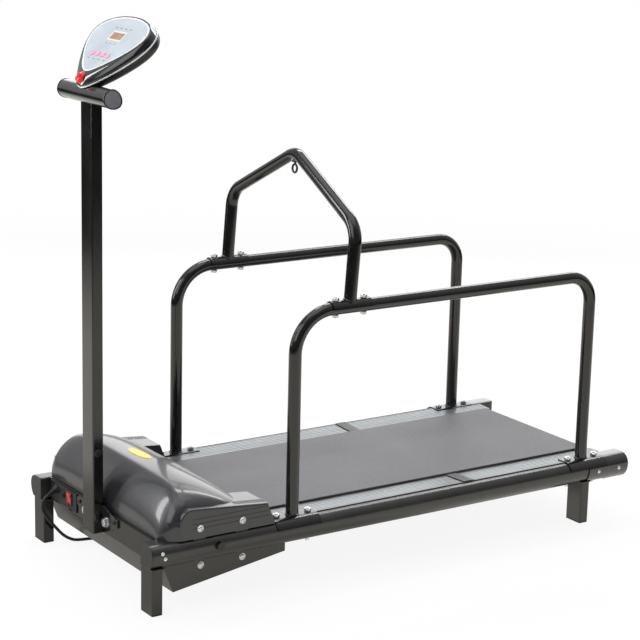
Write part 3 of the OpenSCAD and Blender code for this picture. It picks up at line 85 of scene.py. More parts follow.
# Frame, in millimetres
LEG_H, LEG_D, LEG_W, LEG_XS = 102, 25, 50, (12.5, 1162.5)
RAIL_W, RAIL_H, RAIL_LEN, RAIL_IN = 50, 50, 1280, 235
RAIL_TOP, RAIL_OUT = LEG_H + RAIL_H, RAIL_IN + RAIL_W
CREST_R, FLANK_R, CORNER_R = 22, 38, 4
CAP_T, SLEEVE_T, SEAT_GAP = 4, 2.5, 0.15
RAIL_EDGE, CAP_EDGE, CAP_GAP = 0.8, 1.4, 0.05
POST_XS, POST_Y, POST_HALF, POST_FOOT = (353, 1164), 252.5, 40, RAIL_TOP + 2
HANDRAIL_Z, TUBE_R, ARCH_X, ARCH_LEAN, ARCH_FOOT = 596, 14, 488, math.radians(4), 9
KNEE_RISE, PEAK_RISE, ARCH_HALF, SADDLE_T = 171, 126, 36, 3
TUBE_SIDES, BEAD_SIDES, BEND_STEPS = 40, 8, 20
WELD_STEPS, WELD_TURN, WELD_WAVE, WELD_BEAT, WELD_LIFT, ARCH_WELD_LIFT = 10, 48, 0.4, 2.1, 0.6, 0.5

# Belt and strips
BELT_W, BELT_T, BELT_TOP, BELT_EDGE, LOOP_R, LOOP_STEPS = 380, 2.5, 155, 0.7, 22.3, 32
ROLLER_XS, ROLLER_Z = (239.76, 1222), 130.2
STRIP_X, STRIP_IN, STRIP_OUT, STRIP_TOP, STRIP_T, STRIP_RISE = (301, 1244), 193, 259, 150.3, 2, 0.047
STRIP_DIPS, DIP_START, DIP_END, DIP_PITCH = ((0.0, 0.0), (0.7, 0.7), (1.7, 0.7), (2.4, 0.0)), 5.0, 6, 9.0
FOLD_T, FOLD_H, FOLD_GAP, STRIP_GAP = 2, 12, 0.1, 0.05
# Black lip along each strip's outer edge, painted shade for the dark line where strip meets rail: its inner
# and outer reach and its crest
LIP_IN, LIP_OUT, LIP_CREST = -0.2, 3, ((-0.2, 0.4), (0.6, 0.8), (1.8, 0.6), (2.8, -0.3))
CLIP_X, CLIP_T, CLIP_EDGE, CLIP_ENDS = (810.3, 839.3), 2.2, 0.8, (STRIP_IN - 1, STRIP_OUT + 1.5)

# Motor hood
HOOD_X, HOOD_Z, HOOD_LEN, HOOD_H, HOOD_REAR_H = 28, 152.15, 215, 107, 46
HOOD_HALF, HOOD_WALL, CROWN_SHARE, LIP_SHARE = 272, 3, 0.27, 0.06
FRONT_POWER, SIDE_POWER, HOOD_CORNER_R, SKIRT_ANGLE = 1.6, 4.2, 36, math.radians(4)
HOOD_REAR_X, FIRST_ROW = HOOD_X + HOOD_LEN, 0.6
REAR_WALL_Z, REAR_WALL_HALF, REAR_WALL_EDGE, REAR_WALL_STEPS = BELT_TOP + 10, BELT_W / 2 - 0.3, 0.6, 60
CROWN_X = HOOD_X + CROWN_SHARE * HOOD_LEN
FRONT_ROWS, REAR_ROWS, HOOD_COLUMNS = 28, 24, 96
CHEEK_Y, CHEEK_SET, CHEEK_R, CHEEK_H, CHEEK_REAR_H, CHEEK_DEPTH = 278, 38, 28, 65, 48, 30
ROLL, ROLL_STEPS = 4, 6
WING_X1, WING_Y, WING_BEVEL, WING_LEAD, WING_FOOT = 297, 190, 20, 42, BELT_TOP + 2
WING_EDGE, WING_SEAT = ((1.2, 0), (0.4, 0.4), (0.0, 1.2), (0.0, 6)), (WING_Y + 6.1, CHEEK_Y - 10)
TOE_X, TOE_LEN, TOE_H, TOE_DEPTH = 44, 34, 40, 24
TOE_SHARES = ((0.0, 14.0), (0.35, 7.2), (0.5, 4.2), (0.64, 2.0), (0.78, 0.7), (1.0, -0.05))
TOE_STEPS = ((0, 0), (0, 0.7), (1.5, 0.9), (5, 1.0))
GROOVE_SHARES, GROOVE_W = (0.32, 0.48, 0.64), 2.4
OVAL_X, OVAL_Y, OVAL_SIDES = 123, 3, 64
# Rings of the oval: share of its size and height over the dome
OVAL_EDGE, OVAL_LIFT, OVAL_CROWN = ((1.0, -0.2), (1.0, 0.5), (0.97, 0.8)), 0.8, 0.3
OVAL_SHARES = (0.8, 0.6, 0.4, 0.2, 0.04)

# Console: s runs up the face from its tip, w across it, h out of it
TILT, TIP_X, TIP_Z = math.radians(42.5), -6.94, 1090.21
FACE_LEN, FACE_HALF, FACE_TAPER, RIM_W, FACE_GAP = 153, 99, 0.52, 3, 0.3
HOUSE_LEAD, HOUSE_TAIL, HOUSE_HALF, HOUSE_TAPER = 30, 8, 108, 0.48
BEZEL_H, TRIM_T, TRIM_OUT, SHELL_H, SHELL_CENTRE_SHARE = 16, 2, 1.3, 23, 0.72
SHELL_STEPS = (
    (0.80, -SHELL_H), (0.86, -SHELL_H + 0.3), (0.895, -20.5), (0.935, -17), (0.965, -13.5), (0.985, -8),
    (0.996, -3), (1.0, -0.8), (0.996, -0.2), (0.98, 0.0),
)
# Bezel: heights of its foot and shoulder, the rise of its rounded top and how full that is
BEZEL_FOOT, SHOULDER, BEZEL_RISE, BEZEL_POWER, BEZEL_STEPS = -12.2, -11, 10.6, 0.8, 9
FILM_T, FILM_CENTRE_SHARE, FILM_SHARES = 2, 0.52, (1.0, 0.955, 0.91)
TBAR_X, TBAR_Z, TBAR_HALF_LEN, TBAR_CAP_T = 3, 1042.35, 105, 3
TBAR_SIZE, TBAR_HALF, TBAR_TAPER, TBAR_LEAN = 43, 19.35, 0.12, math.radians(145)
CAP_RIM = (
    (0.6, 0.0), (0.8, 0.4), (0.8, 2.2), (0.4, 2.8), (-0.4, 3.0), (-1.2, 3.0), (-1.8, 2.6), (-2.0, 1.2),
)
CAP_PLATE = ((-2.0, 1.0), (-2.0, 1.9), (-2.6, 2.4), (-8.0, 2.6))
BUTTON_S, BUTTON_WS, BUTTON_W, BUTTON_L, BUTTON_GAP = 47, (-33, -11, 11, 33), 17, 12, 0.6
BUTTON_STEPS = ((0.0, -3.0), (0.0, 0.5), (0.3, 1.0), (0.9, 1.25), (2.5, 1.3))
WINDOW_S, WINDOW_W, WINDOW_L = 100, 54, 24
FRAME_STEPS = ((1.0, 0.02), (0.8, 0.25), (-2.8, 0.25), (-3.1, 0.0), (-3.2, -0.8))
PANE_STEPS = ((-0.15, -6.4), (-0.15, -0.9), (-3.0, -0.5))
# Rows of printed bars: s, places across, width and height, then their span out of the film
MARK_ROWS = ((121, (-30, -10, 10, 30), 9, 3.2), (79, (-18, 0, 18), 7, 2.2), (34, BUTTON_WS, 9, 2.6))
MARK_SPAN = (0.02, 0.14)
# Safety key: its disc as insets from its edge with heights, and its grip
KEY_S, KEY_R, KEY_GAP, KEY_HOLE, KEY_SIDES, FIN_SINK = -15, 13, 0.3, (-12, 6), 48, 0.85
KEY_DISC = (
    (1.5, -11.8), (0.3, -11.2), (0, -10), (0, -0.6), (0.4, 0.9), (1.8, 1.9), (3.6, 2.0), (5.2, 1.0),
    (7, 0.7),
)
KEY_GRIP = (
    (4.6, -2.6), (6.4, -3.1), (7.2, -2.9), (7.5, -2.2), (7.5, 2.2), (7.2, 2.9), (6.4, 3.1), (4.6, 2.6),
)

# Mains lead: route of its axis, then a coil of two layers
GLAND, GLAND_TILT, GLAND_LEN, GLAND_OUT = (17, 197, 136), math.radians(30), 22, 7
GLAND_FOOT, GLAND_TIP = ((7.5, -1.0), (7.5, 4.0)), ((4.9, 21.3), (4.3, 22.0))
GLAND_FLANGE = ((10, 0), (10, 2.2), (9.2, 3.0))
RIBS, RIB_R, RIB_TAPER, RIB_PITCH = 5, 7.2, 0.5, 3.2
RIB = ((0, 5.0), (0, 6.6), (1.3, 7.0), (1.3, 7.9))
ROUTE = (
    (-15, 197, 113), (-18, 197, 103), (-17, 197, 91), (-12, 197, 80), (-5, 197, 69), (4, 197, 57),
    (14, 197, 45), (24, 197, 33), (35, 197, 22), (48, 197, 13), (62, 197, 7), (78, 196, 5),
    (96, 192, 5), (114, 185, 5), (131, 175, 5), (147, 163, 5), (162, 150, 5), (176, 137, 5),
    (191, 124, 5), (207, 112, 5), (224, 102, 5), (240, 95, 5), (252, 91, 5),
)
COIL_X, COIL_Y, COIL_Z, COIL_R, COIL_PITCH = 270, 40, 4.9, 50, 7.63
COIL_TURNS, COIL_STEPS, COIL_LEAD, COIL_TAIL = 2.5, 48, 7, 42
PLUG_NECK, PLUG_LEN, ROUTE_STEPS = 22, 36, 4

# Fasteners: their places along x, across and up, and their turns on the two sides
PAN_BOLTS, HOOD_BOLTS = ((119, 220), 268, 88.7), ((112, 214), CHEEK_Y, HOOD_Z + 21)
SCREW_Y, SLEEVE_Y = RAIL_OUT + SEAT_GAP, RAIL_OUT + 2 * SEAT_GAP + SLEEVE_T
RAIL_SCREWS = (((26.5,), SCREW_Y, 124), ((20.5,), SCREW_Y, 136), ((1193.6, 1256), SLEEVE_Y, 125))
MAST_BOLTS, WING_BOLTS = ((16,), 46, 132), ((16,), 81, 141)
SIDE_BOLTS, TENSION_BOLTS = ((155,), SCREW_Y, 130.5), ((1240,), 226, ROLLER_Z)
POST_TAIL, ARCH_TAIL = 12.5, 6.5
OUTWARD = {-1: (math.pi / 2, 0, 0), 1: (-math.pi / 2, 0, 0)}
UPRIGHT = dict.fromkeys(HANDS, (0, 0, 0))
FORWARD = dict.fromkeys(HANDS, (0, -math.pi / 2, 0))
REARWARD = dict.fromkeys(HANDS, (0, math.pi / 2, 0))


# ---------------------------------------------------------------- helpers


def at(x, y, z):
    """A point of the treadmill, given in millimetres from the front legs, in the row frame."""
    return Vector((FRONT + x * MM, y * MM, z * MM))


def on_console(s, w, h):
    """A point of the console, given along its face, across it and out of it."""
    x = TIP_X + s * math.cos(TILT) - h * math.sin(TILT)
    return at(x, w, TIP_Z + s * math.sin(TILT) + h * math.cos(TILT))


def linear(colour):
    """An sRGB hex colour as linear red, green, blue and alpha."""
    parts = [int(colour[i : i + 2], 16) / 255 for i in (1, 3, 5)]
    return tuple(c / 12.92 if c <= 0.04045 else ((c + 0.055) / 1.055) ** 2.4 for c in parts) + (1.0,)


def around(count):
    """Angles that share out a full turn."""
    return [2 * math.pi * i / count for i in range(count)]


def arc(centre, radius, start, end, steps, first=0):
    """Points of an arc in a plane, with its angles in degrees."""
    angles = [math.radians(start + (end - start) * i / steps) for i in range(first, steps + 1)]
    return [(centre[0] + radius * math.cos(a), centre[1] + radius * math.sin(a)) for a in angles]


def rail_outline():
    """Section of a side rail: u from its inner face, v from its bottom."""
    flank = (RAIL_W - FLANK_R, RAIL_H - CREST_R)
    low = math.degrees(math.asin(-flank[1] / FLANK_R))
    return (
        arc((CORNER_R, CORNER_R), CORNER_R, 180, 270, 6)
        + arc(flank, FLANK_R, low, 0, 16)
        + arc((RAIL_W - CREST_R, flank[1]), CREST_R, 0, 90, 24, 1)
        + arc((CORNER_R, RAIL_H - CORNER_R), CORNER_R, 90, 180, 6)
    )


def egg(start, length, half, taper, count=120):
    """Egg outline that is broad at its far end."""
    return [
        (start + length / 2 * (1 + math.cos(a)), half * math.sin(a) * (1 + taper * math.cos(a)))
        for a in around(count)
    ]


def mixed(a, b, share):
    """An outline part of the way from one to another."""
    return [(p[0] + (q[0] - p[0]) * share, p[1] + (q[1] - p[1]) * share) for p, q in zip(a, b)]


def shrunk(outline, centre, share):
    """An outline drawn in towards a centre."""
    return mixed([centre] * len(outline), outline, share)


def inset(outline, depth):
    """A convex outline moved inwards by a depth."""
    if not depth:
        return list(outline)
    middle = Vector((sum(u for u, _ in outline), sum(v for _, v in outline))) / len(outline)
    points = [Vector(p) for p in outline]
    moved = []
    for before, here, after in zip(points[-1:] + points[:-1], points, points[1:] + points[:1]):
        normals = []
        for a, b in ((before, here), (here, after)):
            n = Vector((b.y - a.y, a.x - b.x)).normalized()
            normals.append(n if n.dot(middle - here) > 0 else -n)
        way = (normals[0] + normals[1]) / (1 + normals[0].dot(normals[1]))
        moved.append(tuple(here + depth * way))
    return moved


def pill(width, length, steps=8):
    """Rounded bar: width along v, length along u."""
    reach = (width - length) / 2
    return arc((0, reach), length / 2, 0, 180, steps) + arc((0, -reach), length / 2, 180, 360, steps)


def quads(bm, a, b):
    """Faces between two rows of points of a mesh."""
    return [bm.faces.new((a[i], a[i + 1], b[i + 1], b[i])) for i in range(len(a) - 1)]


def skin(bm, rings, caps=True, slot=0):
    """Joins closed rings of points into a skin, and closes its ends."""
    loops = [[bm.verts.new(p) for p in ring] for ring in rings]
    made = []
    for a, b in zip(loops, loops[1:]):
        made += quads(bm, a + a[:1], b + b[:1])
    if caps:
        made += [bm.faces.new(loops[0][::-1]), bm.faces.new(loops[-1])]
    for face in made:
        face.material_index = slot
    return made


def prism(bm, outline, place, low, high, edge=0.0):
    """Solid between two copies of an outline, with its end edges rounded."""
    made = skin(bm, [[place(u, v, d) for u, v in outline] for d in (low, high)])
    if edge:
        ends = {e for face in made[-2:] for e in face.edges}
        bmesh.ops.bevel(bm, geom=list(ends), offset=edge * MM, segments=3, affect="EDGES", profile=0.5)


def turned(bm, profile, matrix=Matrix(), sides=32):
    """Round solid from (radius, height) pairs in millimetres, placed by a matrix."""
    place = matrix @ Matrix.Scale(MM, 4)
    turns = around(sides)
    skin(bm, [[place @ Vector((r * math.cos(a), r * math.sin(a), z)) for a in turns] for r, z in profile])


def hexagon(bm, across, low, high):
    """Chamfered hex head or nut."""
    inner = 0.49 * across
    rings = [[], [], [], []]
    for a in around(24):
        r = across / 2 / math.cos((a + math.pi / 6) % (math.pi / 3) - math.pi / 6)
        cut = max(0.02, (r - inner) * math.tan(math.pi / 6))
        small = min(r, inner)
        for ring, radius, z in zip(rings, (small, r, r, small), (low, low + cut, high - cut, high)):
            ring.append(Vector((radius * math.cos(a), radius * math.sin(a), z)) * MM)
    skin(bm, rings)


def mesh_of(bm, name):
    """Turns a bmesh into a mesh whose faces point outwards."""
    bmesh.ops.recalc_face_normals(bm, faces=bm.faces)
    mesh = bpy.data.meshes.new(name)
    bm.to_mesh(mesh)
    bm.free()
    return mesh


def even_normals(piece):
    """Lets the large faces of a piece set its normals, so that flats stay flat between rounded edges."""
    modifier = piece.modifiers.new("normals", "WEIGHTED_NORMAL")
    modifier.keep_sharp = True
    rough = piece.data
    graph = bpy.context.evaluated_depsgraph_get()
    piece.data = bpy.data.meshes.new_from_object(piece.evaluated_get(graph))
    piece.modifiers.clear()
    name = rough.name
    bpy.data.meshes.remove(rough)
    piece.data.name = name


def show(name, shape, finishes, body="frame", nodes=(), angle=SMOOTH_ANGLE):
    """Puts a piece in the scene: its finishes, the body it rides on and the nodes it stands for."""
    mesh = mesh_of(shape, name) if isinstance(shape, bmesh.types.BMesh) else shape
    piece = bpy.data.objects.new(name, mesh)
    bpy.context.scene.collection.objects.link(piece)
    for label in finishes:
        mesh.materials.append(finish(label))
    mesh.shade_smooth()
    mesh.set_sharp_from_angle(angle=angle)
    even_normals(piece)
    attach(piece, body)
    if nodes:
        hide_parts(*nodes)
    return piece


def softened(node, name, finishes, edge, body="frame", pick=None):
    """A copy of a node with merged points and rounded edges, which stands for the node."""
    bm = bmesh.new()
    bm.from_mesh(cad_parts[node].data)
    bmesh.ops.remove_doubles(bm, verts=bm.verts, dist=2e-6)
    bmesh.ops.dissolve_limit(bm, angle_limit=math.radians(0.8), verts=bm.verts, edges=bm.edges)
    sharp = [e for e in bm.edges if e.is_manifold and e.calc_face_angle(0) > SMOOTH_ANGLE]
    bmesh.ops.bevel(
        bm, geom=sharp, offset=edge * MM, segments=2, affect="EDGES", profile=0.5, clamp_overlap=True
    )
    if pick:
        for face in bm.faces:
            face.material_index = pick(face.calc_center_median())
    return show(name, bm, finishes, body, (node,))


def carved(blank, cut, name):
    """The mesh of a blank with a cutting shape taken away from it."""
    blank, cutter = (bpy.data.objects.new(name, mesh_of(bm, name)) for bm in (blank, cut))
    for piece in (blank, cutter):
        bpy.context.scene.collection.objects.link(piece)
    hole = blank.modifiers.new("cut", "BOOLEAN")
    hole.object, hole.operation, hole.solver = cutter, "DIFFERENCE", "EXACT"
    graph = bpy.context.evaluated_depsgraph_get()
    mesh = bpy.data.meshes.new_from_object(blank.evaluated_get(graph))
    for piece in (blank, cutter):
        bpy.data.meshes.remove(piece.data)
    mesh.name = name
    return mesh


def dressed(label, *nodes):
    """Gives nodes that stay as they are their finish."""
    for node in nodes:
        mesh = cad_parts[node].data
        mesh.materials.clear()
        mesh.materials.append(finish(label))


def add(tree, kind, inputs=(), **settings):
    """Adds a node to a tree, with its settings, its values and its links."""
    node = tree.nodes.new(kind)
    for name, value in settings.items():
        setattr(node, name, value)
    for name, value in dict(inputs).items():
        if isinstance(value, bpy.types.NodeSocket):
            tree.links.new(value, node.inputs[name])
        else:
            node.inputs[name].default_value = value
    return node


# ---------------------------------------------------------------- finishes


def coat(weight, roughness, **more):
    """Values of a clear coat, and more beside them."""
    return {"Coat Weight": weight, "Coat Roughness": roughness, **more}


# Dark and light colour, span of roughness, then grain, patch and bump in millimetres, and what is special
FINISHES = {
    # Black powder coat on steel tube: a glossy skin with a soft orange peel, drawn coarse enough to show
    "powder_coated_steel": ("#0b0b0c", "#171717", (0.12, 0.2), 2.6, 90, 0.008, coat(0.35, 0.06)),
    # Satin powder coat on folded sheet and rails: a broad, calm sheen without the gloss of the tubes
    "satin_coated_steel": ("#1f1f1e", "#2d2d2c", (0.26, 0.34), 2.2, 90, 0.006, coat(0.4, 0.2)),
    # Moulded ABS of the hood: polished tool, bluish black, broad calm reflections
    "hood_moulded_abs": ("#212227", "#2b2c31", (0.32, 0.4), 1.8, 120, 0.004, coat(0.55, 0.09, IOR=1.55)),
    # Glossy moulded ABS of the bezel, the T-bar and the sleeves, lacquered
    "gloss_moulded_abs": ("#101114", "#191a1e", (0.12, 0.2), 1.6, 70, 0.006, coat(0.7, 0.05, IOR=1.53)),
    # Spark-eroded ABS of the console's lower shell: a fine dry grain
    "satin_grained_abs": ("#121210", "#1d1c19", (0.38, 0.5), 1.2, 60, 0.05, {"IOR": 1.52}),
    # Black polyethylene of the rail caps: dull, a shade lighter than the steel
    "black_polyethylene": ("#232324", "#313132", (0.3, 0.42), 2.2, 25, 0.03, {}),
    # Grey polyethylene of the end caps: soft, slightly scuffed
    "grey_polyethylene": ("#6c6d72", "#7e7f84", (0.38, 0.52), 2.2, 25, 0.03, {}),
    # Black nylon of clips, plugs, pulleys and the switch frame: plain and dark, with a soft sheen
    "black_nylon": ("#141415", "#202022", (0.34, 0.48), 1.4, 30, 0.03, {}),
    # Flexible PVC of the lead, gland and plug: dull, with faint flow marks
    "flexible_pvc": ("#17171a", "#232327", (0.4, 0.55), 1.5, 40, 0.03, {}),
    # Vulcanised rubber of the drive belt: dry and without gloss
    "vulcanised_rubber": ("#161616", "#242424", (0.6, 0.75), 1.5, 30, 0.05, {}),
    # PVC running belt: grey, matt, with a fine pebbled face, drawn as pebbles of three millimetres
    "pebbled_belt_pvc": ("#57575b", "#67676c", (0.5, 0.62), 3.0, 160, 0.12, {"cells": True, "IOR": 1.48}),
    # Extruded, satin anodised aluminium: pale, with drawing lines along its length
    "anodised_aluminium": (
        "#7b7f81", "#96999b", (0.3, 0.4), 2.0, 80, 0.01, {"stretch": (0.02, 1, 1), "Metallic": 0.85},
    ),
    # Bright zinc plating on bolts: cool white metal with a faint spangle
    "bright_zinc_plate": (
        "#d5d8dc", "#f0f1f3", (0.14, 0.26), 2.5, 8, 0.01, {"cells": True, "Metallic": 0.8},
    ),
    # Blackened bolts: dark oiled steel with sharp glints
    "black_oxide_steel": ("#121213", "#232325", (0.12, 0.24), 2.0, 10, 0.02, {}),
    # Ground steel of rollers, axles and bearings: fine turning lines round the axle
    "ground_steel": (
        "#9a9da1", "#b9bcc0", (0.22, 0.34), 1.5, 40, 0.01, {"stretch": (0.2, 1, 0.2), "Metallic": 1.0},
    ),
    # Laminated fibreboard of the deck: brown, with short pressed fibres
    "laminated_fibreboard": ("#5c4a36", "#7a654b", (0.45, 0.6), 2.5, 50, 0.03, {"stretch": (0.3, 1, 1)}),
    # Stoved paint of the motor and the controller: dark grey, half matt
    "stoved_motor_paint": ("#2e2f32", "#3c3d41", (0.4, 0.52), 2.0, 50, 0.04, {}),
    # Glass-epoxy board with its green resist
    "green_solder_resist": ("#24513a", "#2f6848", (0.25, 0.35), 1.5, 12, 0.02, {}),
    # Glossy red ABS of the safety key: a clear signal colour
    "red_moulded_abs": ("#d4161a", "#ee2a26", (0.1, 0.16), 1.8, 20, 0.008, {"IOR": 1.53}),
    # Red polycarbonate of the rocker: a shade deeper than the key
    "red_polycarbonate": ("#c2141a", "#dc2026", (0.16, 0.24), 1.5, 12, 0.008, {"IOR": 1.58}),
    # Pink silicone of the push buttons: soft, faintly dusty
    "pink_silicone": ("#e294bd", "#f2b6d3", (0.42, 0.55), 1.2, 9, 0.02, {"IOR": 1.43}),
    # Printed polycarbonate film on the console: pale silver-blue with a fine metallic ink
    "silver_printed_film": ("#b4bec7", "#c9d1d8", (0.28, 0.36), 1.6, 45, 0.004, {"IOR": 1.58}),
    # White ink line round the film: it sets the face off from the bezel
    "white_printed_line": ("#e6eaee", "#f6f8fa", (0.25, 0.32), 1.6, 30, 0.004, {}),
    # Grey printing of the plain marks: quiet on the film
    "grey_printed_ink": ("#7d868f", "#949ca4", (0.35, 0.45), 1.5, 10, 0.004, {}),
    # Smoked amber acrylic over the display: warm and clear-faced
    "amber_acrylic": ("#9c7f68", "#b4967e", (0.12, 0.18), 2.5, 14, 0.004, {"IOR": 1.49}),
    # Cream printed frame of the display
    "cream_printed_ink": ("#e3d8c8", "#f0e8dc", (0.3, 0.4), 1.5, 12, 0.004, {}),
    # Silver-white lacquer of the trim line: bright, a little uneven
    "silver_lacquer": ("#dde1e5", "#f1f3f5", (0.16, 0.26), 2.2, 30, 0.006, {}),
    # Yellow vinyl oval on the hood, left plain
    "yellow_vinyl": ("#e9c81f", "#f7de3c", (0.3, 0.4), 2.0, 18, 0.01, {}),
}
RANGE = ("From Min", "From Max", "To Min", "To Max")
COLOUR_SPAN, ROUGH_SPAN, BUMP_STRENGTH = (0.12, 0.42), (0.3, 0.7), 0.6


def finish(name):
    """The finish of that name: its colour runs from dark to light over its grain and its broader patches."""
    material = bpy.data.materials.get(name)
    if material:
        return material
    low, high, rough, grain, patch, bump, special = FINISHES[name]
    material = bpy.data.materials.new(name)
    material.use_nodes = True
    tree = material.node_tree
    shader = tree.nodes["Principled BSDF"]
    where = add(tree, "ShaderNodeTexCoord").outputs["Object"]
    stretch = special.get("stretch", (1, 1, 1))
    scaled = add(tree, "ShaderNodeMapping", {"Vector": where, "Scale": stretch}).outputs["Vector"]
    kind, out, detail = ("Voronoi", "Distance", 0.0) if special.get("cells") else ("Noise", "Fac", 3.0)
    scale = {"Vector": scaled, "Scale": 1 / (grain * MM), "Detail": detail}
    fine = add(tree, "ShaderNodeTex" + kind, scale).outputs[out]
    scale = {"Vector": where, "Scale": 1 / (patch * MM), "Detail": 2.0}
    broad = add(tree, "ShaderNodeTexNoise", scale).outputs["Fac"]
    share = add(tree, "ShaderNodeMath", {0: fine, 1: broad}, operation="MULTIPLY").outputs[0]
    span = add(tree, "ShaderNodeMapRange", {"Value": share, **dict(zip(RANGE, COLOUR_SPAN))})
    ends = {0: span.outputs["Result"], 6: linear(low), 7: linear(high)}
    colour = add(tree, "ShaderNodeMix", ends, data_type="RGBA")
    tree.links.new(colour.outputs[2], shader.inputs["Base Color"])
    level = add(tree, "ShaderNodeMapRange", {"Value": broad, **dict(zip(RANGE, ROUGH_SPAN + rough))})
    tree.links.new(level.outputs["Result"], shader.inputs["Roughness"])
    height = add(tree, "ShaderNodeBump", {"Height": fine, "Distance": bump * MM, "Strength": BUMP_STRENGTH})
    tree.links.new(height.outputs["Normal"], shader.inputs["Normal"])
    for socket in special.keys() - {"stretch", "cells"}:
        shader.inputs[socket].default_value = special[socket]
    return material


# ---------------------------------------------------------------- repeats and paths


def new_tree(name, sockets):
    """A geometry tree with named inputs, its material last, and the sockets that give them."""
    tree = bpy.data.node_groups.new(name, "GeometryNodeTree")
    tree.interface.new_socket("Geometry", in_out="INPUT", socket_type="NodeSocketGeometry")
    for label, kind in (*sockets, ("Material", "NodeSocketMaterial")):
        tree.interface.new_socket(label, in_out="INPUT", socket_type=kind)
    tree.interface.new_socket("Geometry", in_out="OUTPUT", socket_type="NodeSocketGeometry")
    return tree, add(tree, "NodeGroupInput").outputs


def end_tree(tree, geometry, material):
    """Ends a tree: what it made becomes real, gets its material and goes out."""
    real = add(tree, "GeometryNodeRealizeInstances", {"Geometry": geometry}).outputs["Geometry"]
    coated = add(tree, "GeometryNodeSetMaterial", {"Geometry": real, "Material": material})
    add(tree, "NodeGroupOutput", {"Geometry": coated.outputs["Geometry"]})
    return tree


def tube_tree():
    """Bent tube along a line of corners: each corner's own bend radius is its attribute."""
    tree = bpy.data.node_groups.get("bent_tube")
    if tree:
        return tree
    tree, given = new_tree("bent_tube", [("Diameter", "NodeSocketFloat"), ("Sides", "NodeSocketInt")])
    line = add(tree, "GeometryNodeMeshToCurve", {"Mesh": given["Geometry"]}).outputs["Curve"]
    bend = add(tree, "GeometryNodeInputNamedAttribute", {"Name": "bend"}, data_type="FLOAT")
    corners = {"Curve": line, "Radius": bend.outputs["Attribute"], "Count": BEND_STEPS}
    bent = add(tree, "GeometryNodeFilletCurve", corners, mode="POLY").outputs["Curve"]
    radius = add(tree, "ShaderNodeMath", {0: given["Diameter"], 1: 0.5}, operation="MULTIPLY").outputs[0]
    circle = add(tree, "GeometryNodeCurvePrimitiveCircle", {"Resolution": given["Sides"], "Radius": radius})
    sweep = {"Curve": bent, "Profile Curve": circle.outputs["Curve"], "Fill Caps": True}
    tube = add(tree, "GeometryNodeCurveToMesh", sweep)
    return end_tree(tree, tube.outputs["Mesh"], given["Material"])


def fastener_tree():
    """One fastener on each point, turned by the point's own angles."""
    tree = bpy.data.node_groups.get("fasteners")
    if tree:
        return tree
    tree, given = new_tree("fasteners", [("Fastener", "NodeSocketObject")])
    points = add(tree, "GeometryNodeMeshToPoints", {"Mesh": given["Geometry"]}).outputs["Points"]
    turn = add(tree, "GeometryNodeInputNamedAttribute", {"Name": "turn"}, data_type="FLOAT_VECTOR")
    angles = add(tree, "FunctionNodeEulerToRotation", {"Euler": turn.outputs["Attribute"]})
    shape = add(tree, "GeometryNodeObjectInfo", {"Object": given["Fastener"]}, transform_space="ORIGINAL")
    copies = {"Points": points, "Instance": shape.outputs["Geometry"], "Rotation": angles.outputs[0]}
    placed = add(tree, "GeometryNodeInstanceOnPoints", copies)
    return end_tree(tree, placed.outputs["Instances"], given["Material"])


def grown(name, seed, tree, **values):
    """Runs a geometry tree on a seed mesh and returns the plain mesh that it gives."""
    holder = bpy.data.objects.new(name + "_seed", seed)
    bpy.context.scene.collection.objects.link(holder)
    modifier = holder.modifiers.new("grow", "NODES")
    modifier.node_group = tree
    for item in tree.interface.items_tree:
        if item.in_out == "INPUT" and item.name in values:
            modifier[item.identifier] = values[item.name]
    graph = bpy.context.evaluated_depsgraph_get()
    mesh = bpy.data.meshes.new_from_object(holder.evaluated_get(graph))
    mesh.name = name
    bpy.data.objects.remove(holder)
    return mesh


def tubes(name, lines, diameter, sides, closed=False):
    """Coated steel tube along lines of points with their bend radii, in metres."""
    seed = bpy.data.meshes.new("line")
    points, edges = [], []
    for line in lines:
        first = len(points)
        points += line
        edges += [(i, i + 1) for i in range(first, len(points) - 1)]
        if closed:
            edges.append((len(points) - 1, first))
    seed.from_pydata([p for p, _ in points], edges, [])
    seed.attributes.new("bend", "FLOAT", "POINT").data.foreach_set("value", [b for _, b in points])
    coating = finish("powder_coated_steel")
    return grown(name, seed, tube_tree(), Diameter=diameter, Sides=sides, Material=coating)


def fasteners(name, bm, places, label):
    """Copies of one fastener on (point, turn) pairs, as one mesh."""
    shape = bpy.data.objects.new(name + "_one", mesh_of(bm, name + "_one"))
    seed = bpy.data.meshes.new(name + "_points")
    seed.from_pydata([p for p, _ in places], [], [])
    turns = seed.attributes.new("turn", "FLOAT_VECTOR", "POINT")
    turns.data.foreach_set("vector", [a for _, t in places for a in t])
    mesh = grown(name, seed, fastener_tree(), Fastener=shape, Material=finish(label))
    bpy.data.objects.remove(shape)
    return mesh


# ---------------------------------------------------------------- settings


def length_setting(name, description, size):
    """A length, given in millimetres."""
    return bpy.props.FloatProperty(name=name, description=description, default=size * MM, unit="LENGTH")


def power_setting(name, description, watts):
    """The power of a light."""
    return bpy.props.FloatProperty(name=name, description=description, default=watts, min=0.0, unit="POWER")


class StageSettings(bpy.types.PropertyGroup):
    """Camera, light and floor."""

    lens: bpy.props.FloatProperty(
        name="Lens", description="Focal length on a 36 mm sensor, in millimetres", default=109.508, min=20.0
    )
    key_light: power_setting("Key light", "Power of the soft light above", 26.0)
    back_light: power_setting("Back light", "Power of the soft light behind", 40.0)
    strip_light: power_setting("Strip light", "Power of the narrow light overhead", 24.0)
    side_light: power_setting("Side light", "Power of the narrow light at the left", 20.0)
    front_light: power_setting("Front light", "Power of the broad light in front", 22.0)
    ambient: bpy.props.FloatProperty(
        name="Ambient", description="Level of the light from all round", default=0.6, min=0.0
    )
    floor_colour: bpy.props.FloatVectorProperty(
        name="Floor colour", description="Pale floor", subtype="COLOR", size=4, default=linear("#f6f6f5")
    )


